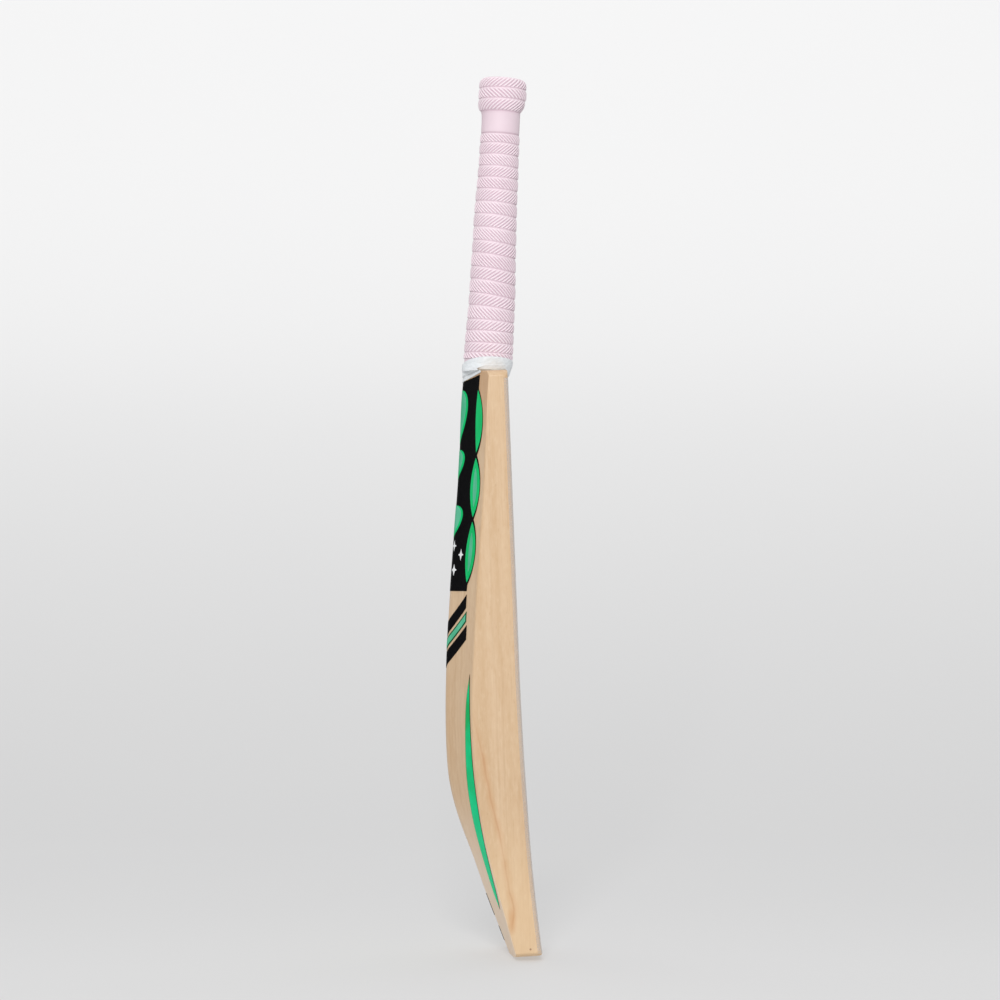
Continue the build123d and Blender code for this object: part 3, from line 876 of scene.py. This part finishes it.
# ------------------------------------------------------------------ cane and rubber springs
# the oval handle above the splice: height, centre y, half width, half depth
CORE = np.array(
    [
        (560.0, 18.4, 16.8, 18.9), (568.0, 17.2, 17.1, 19.7), (578.0, 14.9, 17.4, 20.5),
        (596.0, 13.0, 17.3, 20.3), (635.0, 9.0, 17.0, 19.8), (692.0, 3.8, 16.3, 18.2),
        (750.0, -1.4, 15.5, 16.4), (808.0, -6.5, 15.2, 15.8), (843.0, -9.4, 15.2, 15.8),
    ]
)
END_Z, END_Y, END_TAN = 842.0, -9.65, 0.082  # end of the handle, cut square to its lean
STRIP_EDGES = (-40.0, -8.6, 0.0, 8.6, 40.0)  # the outer ones lie beyond the handle
# depth range of each layer from the handle's axis
CANE_LAYERS = (("front", -60.0, -7.8), ("middle", -6.2, 6.2), ("back", 7.8, 60.0))
SPRING_LAYERS = (("front", -7.8, -6.2), ("back", 6.2, 7.8))
SEAM = 0.03


def core(z):
    return tuple(np.interp(z, CORE[:, 0], CORE[:, k]) for k in (1, 2, 3))


def axis_y(z):
    return 15.8 - 0.0918 * (z - 571.0)


def build_strip(name, left, right, near, far, columns=7):
    """One strip of the handle between two x values and two depths from the axis.

    Its front and back follow the blade in the splice and the oval above it.
    """
    heights = np.concatenate([
        TIP_Z + np.array([0.02, 0.2, 0.6, 1.2, 1.9, 2.6]), np.linspace(426, 563, 36),
        [565.9, 566.1], np.linspace(568, 843, 50)])
    tops, bottoms = [], []
    for height in heights:
        low, high = axis_y(height) + near, axis_y(height) + far
        center, half_x, half_y = core(height)
        inside = height <= SHOULDER_Z
        if inside:
            half = splice_width(height)
        else:
            # the strip ends where its layer leaves the oval
            offset = max(low - center, center - high, 0.0)
            reach = half_x * math.sqrt(max(1 - (offset / half_y) ** 2, 0))
            half = min(half_x, reach) - 0.02
        start, end = max(left, -half), min(right, half)
        if end - start < 0.02:
            continue
        x = np.linspace(start, end, columns)
        if inside:
            face, back = face_y(x, height), back_y(x, height)
        else:
            depth = half_y * np.sqrt(np.maximum(1 - (x / half_x) ** 2, 0))
            face, back = center - depth, center + depth
        front, rear = np.maximum(face, low), np.minimum(back, high)
        rear = np.where(rear - front > 0.01, rear, front + 0.01)
        for rows, y in ((tops, rear), (bottoms, front)):
            rows.append(np.stack([x, y, np.minimum(height, END_Z + END_TAN * (y - END_Y))], -1))
    return shell(name, np.array(tops), np.array(bottoms), weld=0.004, sharp=30)


def build_handle():
    for layer, near, far in CANE_LAYERS:
        for i, (left, right) in enumerate(zip(STRIP_EDGES, STRIP_EDGES[1:]), start=1):
            name = f"cane_{layer}_{i}"
            strip = build_strip(name + "_strip", left + SEAM, right - SEAM, near, far)
            finish(strip, CANE, "cane", name)
    for layer, near, far in SPRING_LAYERS:
        name = f"rubber_spring_{layer}"
        strip = build_strip(
            name + "_layer", STRIP_EDGES[0], STRIP_EDGES[-1], near + SEAM, far - SEAM, 25)
        finish(strip, SPRING, "spring_rubber", name)
    twine = nodes["twine_binding"].data.materials
    twine.clear()
    twine.append(TWINE)


# ------------------------------------------------------------------ rubber grip
# sleeve profile: heights, then half depth, half width and centre y at each
GRIP_Z = [571, 579, 586, 596, 615, 635, 654, 673, 692.5, 712, 731,
          750, 770, 789, 808, 814.5, 818, 823, 828, 832, 838, 852]
GRIP_DEPTH = [23.5, 23.6, 23.55, 23.3, 22.75, 22.25, 21.85, 21.4, 20.9, 20.6, 20.1,
              19.6, 19.05, 18.9, 18.85, 19.2, 21.0, 22.5, 22.9, 22.9, 22.7, 22.4]
GRIP_WIDTH = [20.5, 20.6, 20.5, 20.4, 20.2, 20.0, 19.8, 19.5, 19.3, 19.1, 18.8,
              18.5, 18.3, 18.2, 18.2, 18.6, 20.4, 21.8, 22.2, 22.2, 22.0, 21.8]
GRIP_CENTER = [15.8, 14.7, 13.9, 13.0, 10.9, 8.8, 7.3, 5.9, 4.15, 2.7, 0.9,
               -1.2, -3.1, -4.8, -6.5, -7.0, -7.5, -8.0, -8.7, -9.1, -9.45, -10.7]
grip_depth, grip_width, grip_center = (
    monotone_curve(GRIP_Z, values) for values in (GRIP_DEPTH, GRIP_WIDTH, GRIP_CENTER))
# borders of the ribbed bands, from the top down
BANDS = [847.6, 837.4, 827.0, 815.4, 793.5, 784.7, 773.7, 762.4, 751.4, 740.2, 727.8, 715.7,
         702.6, 689.3, 677.1, 663.6, 651.6, 638.2, 626.7, 614.1, 603.8, 592.4, 582.8, 576.6]
# which way the ribs of each band slant; 0 is a plain band
SLANTS = (-1, 1, -1, 0) + (1, -1) * 9 + (1,)
RIB_COT = 1 / math.tan(math.radians(40))
# rows of points down each band, as parts of its height
BAND_STEPS = [0.0, 0.05, 0.13, 0.25, 0.38, 0.51, 0.64, 0.76, 0.85, 0.915, 0.955, 0.985]
# lean of the bands: heights and degrees
TILT_Z = [571, 585, 606, 618, 635, 680, 700, 743, 780, 796, 849]
TILT_DEGREES = [4.6, 5.2, 6.2, 8.6, 12.0, 11.4, 9.8, 7.0, 6.2, 5.3, 4.9]
RIBS, POINTS_PER_RIB = 32, 10
GRIP_POINTS = RIBS * POINTS_PER_RIB
RIB_HEIGHT = 0.95
# the rolled rim, from inside to out: height, half width, half depth
GRIP_RIM = (
    (842.2, 12.0, 12.3), (842.9, 11.75, 12.05), (843.9, 11.9, 12.2), (844.9, 12.5, 12.8),
    (845.7, 13.5, 13.8), (846.3, 14.8, 15.1), (846.6, 16.0, 16.3))


def grip_ring(theta, height, raised):
    """Leaning ring on the grip with its middle at a height, raised off the profile."""
    tilt = np.tan(np.radians(np.interp(height, TILT_Z, TILT_DEGREES)))
    z = height + tilt * grip_depth(height) * np.sin(theta)
    # the collar rounds over at the top
    t = np.clip((height - 840.4) / (847.8 - 840.4), 0, 1)
    scale = 1 - 0.27 * (1 - np.sqrt(np.maximum(1 - t**2.6, 0)))
    a, b = grip_width(z) * scale, grip_depth(z) * scale
    normal_x, normal_y = np.cos(theta) / a, np.sin(theta) / b
    out = raised / np.sqrt(normal_x**2 + normal_y**2)
    x = a * np.cos(theta) + out * normal_x
    y = grip_center(z) + b * np.sin(theta) + out * normal_y
    return np.stack([x, y, z], -1)


def build_grip():
    steps = np.arange(GRIP_POINTS)
    theta = steps * 2 * math.pi / GRIP_POINTS
    crest = 0.5 - 0.5 * np.cos(2 * math.pi * (steps % POINTS_PER_RIB) / POINTS_PER_RIB)
    rng = np.random.default_rng(7)
    rings, relief = [], []
    for height, a, b in GRIP_RIM:
        z = height + END_TAN * b * np.sin(theta)
        rings.append(np.stack([a * np.cos(theta), END_Y + b * np.sin(theta), z], -1))
        relief.append(np.zeros(GRIP_POINTS))
    shift = 0.0
    for band, (top, bottom, slant) in enumerate(zip(BANDS, BANDS[1:], SLANTS)):
        tall = top - bottom
        middle = 0.5 * (top + bottom)
        radius = 0.5 * (grip_width(middle) + grip_depth(middle))
        turn = slant * tall * RIB_COT / radius
        vary = rng.uniform(-0.10, 0.10)
        plain = slant == 0
        for t in BAND_STEPS:
            # each band swells below the groove that closes the band above it
            groove = 1 - smooth(0.0, 0.07, t) * (1 - smooth(0.90, 0.975, t))
            if plain:
                ribbed, swell = 0.0, 0.08
            else:
                ribbed = smooth(0.02, 0.30, t) * (1 - smooth(0.90, 0.98, t))
                swell = 0.30 * math.sin(math.pi * min(1.0, t * 1.02)) ** 0.7
            ribs = ribbed * RIB_HEIGHT * (1.0 + vary) * (crest - 0.42)
            raised = -0.40 + swell - 0.34 * groove + ribs
            if band == 0:
                raised = raised + 0.35 * (1 - smooth(0.0, 0.3, t))
            rings.append(grip_ring(theta + shift + turn * t, top - tall * t, raised))
            # relief paints shade into the rib hollows and into the groove at each band border
            # (not at the top of the collar), and a highlight onto the rib crests; it also makes
            # the plain band darker
            painted_groove_shade = 0.0 if band == 0 and t < 0.3 else groove
            relief.append(
                ribbed * ((1 - crest) ** 1.4 * 1.25 - 0.55 * crest**2)
                + 0.78 * painted_groove_shade + (0.34 if plain else 0.0))
        shift += turn
    theta = theta + shift
    for height in (577.0, 576.0, 574.5, 573.4):
        rings.append(grip_ring(theta, height, -0.85))
        relief.append(np.full(GRIP_POINTS, 0.3))
    # inside of the sleeve, from its foot up to the rim
    for z in (573.4, 578, 596, 635, 692, 750, 808, 838.2, 843.1):
        center, half_x, half_y = core(z)
        x = (half_x + 0.97) * np.cos(theta)
        y = center + (half_y + 0.97) * np.sin(theta)
        rings.append(np.stack([x, y, np.full(GRIP_POINTS, z)], -1))
        relief.append(np.zeros(GRIP_POINTS))
    grip = closed_tube("rubber_grip_sleeve", rings)
    attribute = grip.data.attributes.new("relief", "FLOAT", "POINT")
    attribute.data.foreach_set("value", np.array(relief).astype(np.float32).ravel())
    finish(grip, GRIP, "grip_rubber", "rubber_grip")


# ------------------------------------------------------------------ shoulder tape
TAPE_POINTS, TAPE_ROWS = 240, 48
FLAP_HALF = 39.0  # half width of the flap over the back of the shoulders
# y of the tape on the face side: heights, y values (the last repeats upwards)
TAPE_FRONT_Z = [557, 560, 562, 564, 567, 569, 571, 573, 577, 585]
TAPE_FRONT_Y = [-2.6, -3.9, -4.7, -5.6, -6.8, -7.5, -8.1, -8.6, -9.3, -10.2]
# centre y and half depth of the tape on the handle, by height
TAPE_Z = [566, 569, 573, 577, 585]
TAPE_CENTER = [18.3, 17.2, 15.6, 14.9, 13.9]
TAPE_DEPTH = [21.2, 22.6, 23.7, 23.9, 24.0]


def draw_in(ring, distance, rise):
    """Moves a ring level towards the handle's axis, and up."""
    out = ring.copy()
    out[:, 1] -= axis_y(ring[:, 2])
    out[:, 2] = 0
    out /= np.linalg.norm(out, axis=1, keepdims=True)
    return ring - out * distance + np.array([0, 0, rise])


def build_tape():
    theta = np.arange(TAPE_POINTS) * 2 * math.pi / TAPE_POINTS
    sin, cos = np.sin(theta), np.cos(theta)
    back = smooth(0.0, 0.35, sin)
    # upper edge: highest on the sides, lower at the back and the face
    top_z = (574.4 + 5.0 * np.abs(cos) ** 1.3 - 0.6 * (sin < 0) * np.abs(sin)
             + 0.25 * np.sin(3 * theta + 0.6))
    # lower edge: a shallow V over the back of the shoulders, a small dip over the face
    dip = np.where(sin > 0, 9.2 * (1 - np.abs(cos)),
                   7.4 * np.clip(1 - np.abs(cos) ** 2.6, 0, 1))
    low_z = 566.2 - dip - 1.6 * back
    outer = []
    for t in np.arange(TAPE_ROWS) / (TAPE_ROWS - 1):
        z = top_z + (low_z - top_z) * t
        half_x = np.interp(z, [560, 566, 569, 573, 577, 585],
                           [19.4, 19.8, 20.3, 20.8, 21.0, 21.0])
        flap = np.interp(z, [560, 564, 566, 567.4, 569.5, 571.5],
                         [FLAP_HALF, FLAP_HALF, 36.0, 28.0, 22.0, 20.8])
        half_x = half_x + (np.maximum(flap, half_x) - half_x) * back
        center = np.interp(z, TAPE_Z, TAPE_CENTER)
        half_y = np.interp(z, TAPE_Z, TAPE_DEPTH)
        x = half_x * cos
        y = center + half_y * sin
        on_back = back_y(x, np.minimum(z, SHOULDER_Z)) + 0.8
        cling = 1 - smooth(565.0, 572.0, z)
        rear = y + (np.maximum(on_back, y * (z > SHOULDER_Z)) - y) * cling
        front = center + (center - np.interp(z, TAPE_FRONT_Z, TAPE_FRONT_Y)) * sin
        y = np.where(sin > 0.0, rear, front)
        # two turns of tape: the upper one ends in a slanted step over the lower one
        fold = low_z + 5.2 * np.clip(sin, 0, 1) - 2.5 * np.clip(-sin, 0, 1) - 0.6 * cos
        over = smooth(-0.40, 0.15, z - fold)
        second = smooth(-0.3, 0.3, z - (572.6 + 1.5 * np.sin(theta + 0.9)))
        crease = 0.08 * np.sin(9 * theta + z * 0.8) + 0.06 * np.sin(17 * theta - z * 1.1)
        pinch = -0.55 * np.exp(-((z - fold + 0.7) / 0.5) ** 2) * np.clip(sin * 1.5, 0, 1)
        ends = (1 - smooth(0.95, 1.0, t)) * smooth(0.0, 0.05, t)
        raised = (0.75 * over - 0.25 * second + crease + pinch) * ends
        normal_x, normal_y = cos / half_x, sin / half_y
        out = raised / np.sqrt(normal_x**2 + normal_y**2)
        outer.append(np.stack([x + out * normal_x, y + out * normal_y, z], -1))
    # a rolled lip at both ends, then the inside
    top_lip = [draw_in(outer[0], *move) for move in ((1.0, -0.2), (0.55, 0.15), (0.2, 0.12))]
    low_lip = [draw_in(outer[-1], *move) for move in ((0.35, -0.12), (0.9, 0.1))]
    rings = top_lip + outer + low_lip
    inner = [draw_in(ring, 0.5, 0.0) for ring in rings[::-1][1:-1]]
    tape = closed_tube("shoulder_tape_wrap", rings + inner)
    finish(tape, TAPE, "cloth_tape", "shoulder_tape")


# ------------------------------------------------------------------ clear film on the face
def film_row(z, raised):
    """One row of the film, from side to side over the face and round both corners."""
    width = min(width_at(z), outline_width(z))
    flat = np.linspace(0, 1, 30) * (width - FACE_ROUND)
    turn = np.linspace(0, math.radians(89), 13)[1:]
    hub_y = face_y(width - FACE_ROUND, z) + FACE_ROUND
    x = np.concatenate([flat, width - FACE_ROUND + FACE_ROUND * np.sin(turn), [width - 0.01]])
    y = np.concatenate([face_y(flat, z), hub_y - FACE_ROUND * np.cos(turn), [hub_y + 0.25]])
    normal = np.concatenate([np.zeros(30), turn, [math.pi / 2]])
    x = x + np.sin(normal) * raised
    y = y - np.cos(normal) * raised
    right = np.stack([x, y, np.full(len(x), z)], -1)
    return np.concatenate([right[1:][::-1] * np.array([-1, 1, 1]), right])


def build_film():
    heights = np.concatenate([
        np.linspace(9, 90, 26), np.linspace(96, 530, 70), np.linspace(533, 557, 14)])
    top, bottom = (
        np.array([film_row(z, raised) for z in heights]) for raised in (0.32, 0.03))
    film = shell("anti_scuff_sheet", top, bottom)
    finish(film, FILM, "clear_film", "anti_scuff_film")


# ------------------------------------------------------------------ back label
LABEL_TOP, LABEL_FOOT = 561.6, 355.2
# corners of the label's scalloped edge, each with the middle of the arc to the next
SCALLOPS = (
    ((33.5, 548.0), (45.0, 515.0)), ((35.0, 484.5), (44.5, 454.0)),
    ((36.0, 423.5), (45.0, 393.0)), ((33.0, 361.5), None))
# each tier: leaf top, leaf foot, outer and inner middle; petal top, length, half width
TIERS = {
    "upper": (((32.4, 547.5), (33.4, 486.8), (44.5, 515.0), (30.5, 519.0)),
              (549.0, 54.0, 15.5)),
    "middle": (((33.6, 482.4), (34.4, 425.2), (44.05, 454.0), (26.0, 452.0)),
               (491.5, 30.0, 13.5)),
    "lower": (((34.4, 421.6), (31.6, 363.2), (44.55, 393.0), (26.5, 391.0)),
              (438.0, 32.0, 16.5)),
}
# layer, material, power, then (inset, columns, heights) of the leaf and of the petal
TIER_LAYERS = (
    ("shadow", DEEP, 8, (None, 13, (0.10, 0.34, 0.36)), (None, 41, (0.10, 0.34, 0.36))),
    ("border", GREEN, 6, (0.35, 17, (0.12, 0.46, 0.60)), (0.6, 41, (0.12, 0.40, 0.46))),
    ("infill", SAGE, 3, (5.0, 17, (0.12, 0.56, 0.72)), (3.6, 41, (0.12, 0.48, 0.60))),
)
# white sparks: x, height, half height
SPARKS = (
    (-5.4, 398.5, 5.2), (5.4, 398.5, 5.2), (-18, 390, 5.6),
    (18, 390, 5.6), (-8, 375.5, 5.6), (8, 375.5, 5.6))


def leaf_curves(top, foot, outer, inner):
    return arc_through(top, inner, foot, 61), arc_through(top, outer, foot, 61)


def petal_curves(top_z, length, half):
    """Round shoulders and a pointed foot."""
    t = np.linspace(0, 1, 61)
    x = half * np.sin(math.pi * t**0.58) ** 0.75
    x = np.where(t < 0.02, x * 0.6, x)
    z = top_z - length * t
    return np.stack([-x, z], -1), np.stack([x, z], -1)


def build_leaves(name, material, power, leaf, petal, side=1):
    """Leaf, mirrored leaf and petal in one object.

    leaf and petal are (curves, inset, columns, heights); leaf may be None.
    """
    parts = []
    for shape, mirrors in ((leaf, (1, MIRROR_X)), (petal, (1,))):
        if shape is None:
            continue
        curves, inset, columns, heights = shape
        if inset is not None:
            curves = inset_strip(*curves, inset)
        for mirror in mirrors:
            first, second = (curve * mirror for curve in curves)
            parts.append(patch("part", first, second, columns, heights, power, side))
    finish(join(name, parts), material, "green_foil")


def build_label_ground():
    pieces = [np.array([(33.5, LABEL_TOP)])]
    for (start, middle), (end, _) in zip(SCALLOPS, SCALLOPS[1:]):
        skip = 0 if start == SCALLOPS[0][0] else 1
        pieces.append(arc_through(start, middle, end, 30)[skip:])
    pieces.append(np.array([(32.5, LABEL_FOOT)]))
    edge = resample(np.concatenate(pieces), 150)
    # rows follow the V shaped top edge and straighten towards the foot
    x = edge[:, :1] * np.linspace(-1, 1, 91)
    top_line = np.interp(np.abs(x), [0, 30, 36, 46], [555.2, 561.0, LABEL_TOP, LABEL_TOP])
    down = (LABEL_TOP - edge[:, 1:]) / (LABEL_TOP - LABEL_FOOT)
    z = edge[:, 1:] - (LABEL_TOP - top_line) * (1 - down) ** 3
    label = shell("back_label_vinyl", lift(x, z, 0.28), lift(x, z, 0.02))
    finish(label, BLACK, "black_label", "back_label")


def build_sparks():
    """Four pointed stars, each of two crossing slim lozenges."""
    parts = []
    t = np.linspace(-1, 1, 13)
    for center_x, center_z, size in SPARKS:
        lozenges = ((size * 0.80, size * 0.36, 0.36), (size * 0.34, size, 0.38))
        for half_x, half_z, rim in lozenges:
            x = half_x * (1 - np.abs(t))
            z = center_z + half_z * t
            first, second = (np.stack([center_x + s * x, z], -1) for s in (-1, 1))
            parts.append(patch("part", first, second, 5, (0.12, rim, rim + 0.06), power=2))
    finish(join("label_sparks", parts), WHITE, "black_label")


def build_back_label():
    build_label_ground()
    for tier, (leaf, petal) in TIERS.items():
        for layer, material, power, leaf_fit, petal_fit in TIER_LAYERS:
            # the upper leaves have no infill
            bare = tier == "upper" and layer == "infill"
            build_leaves(
                f"leaf_{layer}_{tier}", material, power,
                None if bare else (leaf_curves(*leaf), *leaf_fit),
                (petal_curves(*petal), *petal_fit))
    build_sparks()


# ------------------------------------------------------------------ bands below the label
BAND_DROP = 28.0  # how far the middle of a band hangs below its ends


def chevron(end_z, deep, half, heights, inset=0.0):
    x = np.linspace(-half + inset, half - inset, 61)
    top = end_z - BAND_DROP * (1 - np.abs(x) / half) - inset * 1.2
    first = np.stack([x, top], -1)
    second = np.stack([x, top - deep + inset * 2.4], -1)
    return patch("part", first, second, 9, heights, power=6, ends=False)


def build_bands():
    black = [chevron(352, 13, 33.0, (0.02, 0.26, 0.30)),
             chevron(323, 14, 36.0, (0.02, 0.26, 0.30))]
    finish(join("spine_bands_black", black), BLACK, "black_label", "spine_emblem")
    green = chevron(336, 10, 34.5, (0.02, 0.26, 0.34))
    finish(join("spine_band_green", [green]), DEEP, "green_foil")
    sage = chevron(336, 10, 34.5, (0.12, 0.40, 0.52), inset=1.5)
    finish(join("spine_band_sage", [sage]), SAGE, "green_foil")


# ------------------------------------------------------------------ stripes by the edges
# place along the stripe, height, outer x, inner x
EDGE_STRIPE = np.array(
    [
        (0.0, 276.5, 47.0, 47.0), (0.11, 251.0, 48.5, 41.4), (0.32, 203.0, 49.6, 37.2),
        (0.53, 155.0, 50.4, 34.4), (0.74, 107.0, 49.8, 32.9), (0.93, 66.0, 46.4, 34.9),
        (1.0, 51.0, 40.6, 40.6),
    ]
)


def build_edge_stripes():
    t = 0.5 - 0.5 * np.cos(math.pi * np.linspace(0, 1, 121))
    z, outer, inner = (
        monotone_curve(EDGE_STRIPE[:, 0], EDGE_STRIPE[:, k])(t) for k in (1, 2, 3))
    for side, sign in (("left", -1), ("right", 1)):
        first, second = (np.stack([sign * x, z], -1) for x in (inner, outer))
        ground = patch(f"edge_stripe_{side}_ground", first, second, 13,
                       (0.02, 0.26, 0.28), power=8, ends=False)
        finish(ground, BLACK, "black_label", f"edge_stripe_{side}")
        foil = patch(f"edge_stripe_{side}_foil", *inset_strip(first, second, 0.6), 15,
                     (0.10, 0.38, 0.60), power=3)
        finish(foil, STRIPE, "green_foil")


# ------------------------------------------------------------------ toe marks
def build_toe_marks():
    """Two upright blocks with rounded ends on the back, one above the other."""
    parts = []
    for center, tall in ((51.5, 21.0), (23.0, 14.0)):
        z = np.linspace(center - tall / 2, center + tall / 2, 25)
        taper = np.sqrt(np.clip(1 - (np.abs(z - center) / (tall / 2)) ** 10, 0, 1))
        x = 3.5 * (0.75 + 0.25 * taper)
        first, second = np.stack([-x, z], -1), np.stack([x, z], -1)
        parts.append(patch("part", first, second, 17, (0.02, 0.24, 0.30), power=6, ends=False))
    finish(join("toe_marks_print", parts), BLACK, "black_label", "toe_marks")


# ------------------------------------------------------------------ face label
SHIELD_TOP, SHIELD_FOOT, SHIELD_HALF = 409.0, 300.0, 30.5


def build_face_label():
    t = np.linspace(0, 1, 81)
    z = SHIELD_TOP + (SHIELD_FOOT - SHIELD_TOP) * t
    x = SHIELD_HALF * np.sin(math.pi * t**0.55) ** 0.62
    shield = patch("face_label_vinyl", np.stack([-x, z], -1), np.stack([x, z], -1), 61,
                   (0.05, 0.46, 0.50), power=12, side=-1, ends=False)
    finish(shield, BLACK, "black_label", "face_label")
    leaf = leaf_curves((9.5, 399.0), (9.5, 336.0), (25.0, 369.0), (14.0, 369.0))
    petal = petal_curves(397.0, 64.0, 8.6)
    # layer, material, power, leaf inset, petal inset, heights
    for layer, material, power, leaf_inset, petal_inset, heights in (
        ("border", GREEN, 5, None, None, (0.3, 0.56, 0.68)),
        ("infill", SAGE, 3, 1.8, 1.9, (0.3, 0.70, 0.88)),
    ):
        build_leaves(f"face_leaf_{layer}", material, power,
                     (leaf, leaf_inset, 15, heights),
                     (petal, petal_inset, 21, heights), side=-1)


build_blade()
build_handle()
build_grip()
build_tape()
build_film()
build_back_label()
build_bands()
build_edge_stripes()
build_toe_marks()
build_face_label()

# ------------------------------------------------------------------ camera
YAW, ROLL = math.radians(4.0), math.radians(2.22)
CAMERA_FAR, CAMERA_ASIDE, CAMERA_HIGH = 3000.0, -8.511, 441.070 - LIFT  # mm

toward_camera = Vector((-math.cos(YAW), math.sin(YAW), 0))
level = Vector((-math.sin(YAW), -math.cos(YAW), 0))  # rightwards in view, before the roll
UP = Vector((0, 0, 1))
view_right = math.cos(ROLL) * level - math.sin(ROLL) * UP
view_up = math.sin(ROLL) * level + math.cos(ROLL) * UP


def build_camera():
    data = bpy.data.cameras.new("camera")
    data.sensor_width = 36.0
    data.lens = 111.67
    data.clip_start, data.clip_end = 0.05, 60
    camera = bpy.data.objects.new("camera", data)
    place = (toward_camera * CAMERA_FAR + level * CAMERA_ASIDE + UP * CAMERA_HIGH) * MM
    matrix = Matrix((view_right, view_up, toward_camera)).transposed().to_4x4()
    matrix.translation = place
    camera.matrix_world = matrix
    bpy.context.scene.collection.objects.link(camera)
    bpy.context.scene.camera = camera


# ------------------------------------------------------------------ floor and light
# height in the frame (0 bottom, 1 top), and the glow of the sheet there: painted light,
# brighter towards the top, that also softens the shadows on the sheet
GLOW = [(0.0, 0.381), (0.05, 0.381), (0.10, 0.373), (0.25, 0.405),
        (0.40, 0.460), (0.55, 0.533), (0.70, 0.623), (0.92, 0.659)]
FLOOR_BASE = Vector((0, 0.004, -0.0007))
FLOOR_NEAR, FLOOR_RUN, FLOOR_HALF = -2.6, 0.9, 5.0  # extents of the flat part
SWEEP_RADIUS, SWEEP_TOP = 1.3, 5.5


def make_floor_paper():
    paper = Shader("floor_paper")
    cloud = paper.noise((3, 3, 3), detail=2.0)
    # painted light: the sheet glows, brighter towards the top of the frame
    window_y = paper.axes(paper.node("ShaderNodeTexCoord", output="Window"))[1]
    return paper.finish(
        color=paper.mix(cloud, srgb(160, 160, 160), srgb(158, 158, 159)), roughness=0.9,
        specular=0.2, glow_color=(1, 1, 1, 1), glow=paper.curve(window_y, GLOW))


def build_floor():
    """A pale sheet that runs under the bat and sweeps up behind it, square to the camera."""
    profile = [(FLOOR_NEAR, 0.0), (0.0, 0.0), (FLOOR_RUN, 0.0)]
    for angle in np.linspace(0, math.pi / 2, 20)[1:]:
        profile.append((FLOOR_RUN + SWEEP_RADIUS * math.sin(angle),
                        SWEEP_RADIUS * (1 - math.cos(angle))))
    profile.append((FLOOR_RUN + SWEEP_RADIUS, SWEEP_TOP))
    verts = [
        tuple(FLOOR_BASE - toward_camera * away + view_up * rise + view_right * aside)
        for away, rise in profile for aside in (-FLOOR_HALF, FLOOR_HALF)]
    faces = [(2 * i, 2 * i + 1, 2 * i + 3, 2 * i + 2) for i in range(len(profile) - 1)]
    mesh = bpy.data.meshes.new("floor_sheet")
    mesh.from_pydata(verts, [], faces)
    mesh.shade_smooth()
    ob = bpy.data.objects.new("floor_sheet", mesh)
    bpy.context.scene.collection.objects.link(ob)
    mesh.materials.append(make_floor_paper())


def add_area_light(name, place, target, size, power):
    data = bpy.data.lights.new(name, "AREA")
    data.shape = "RECTANGLE"
    data.size = data.size_y = size
    data.energy = power
    light = bpy.data.objects.new(name, data)
    light.location = place
    aim = Vector(target) - Vector(place)
    light.rotation_euler = aim.to_track_quat("-Z", "Y").to_euler()
    bpy.context.scene.collection.objects.link(light)


def build_world():
    world = bpy.data.worlds.new("studio")
    world.use_nodes = True
    background = world.node_tree.nodes["Background"]
    background.inputs["Color"].default_value = (1, 1, 1, 1)
    background.inputs["Strength"].default_value = 0.37
    scene = bpy.context.scene
    scene.world = world
    scene.view_settings.view_transform = "Standard"
    scene.view_settings.look = "None"


build_camera()
build_floor()
add_area_light("key", place=(-2.7, 0.35, 2.0), target=(0, 0, 0.34), size=0.7, power=56)
add_area_light("top", place=(0.3, -0.3, 3.0), target=(0, 0, 0.4), size=2.4, power=10)
build_world()
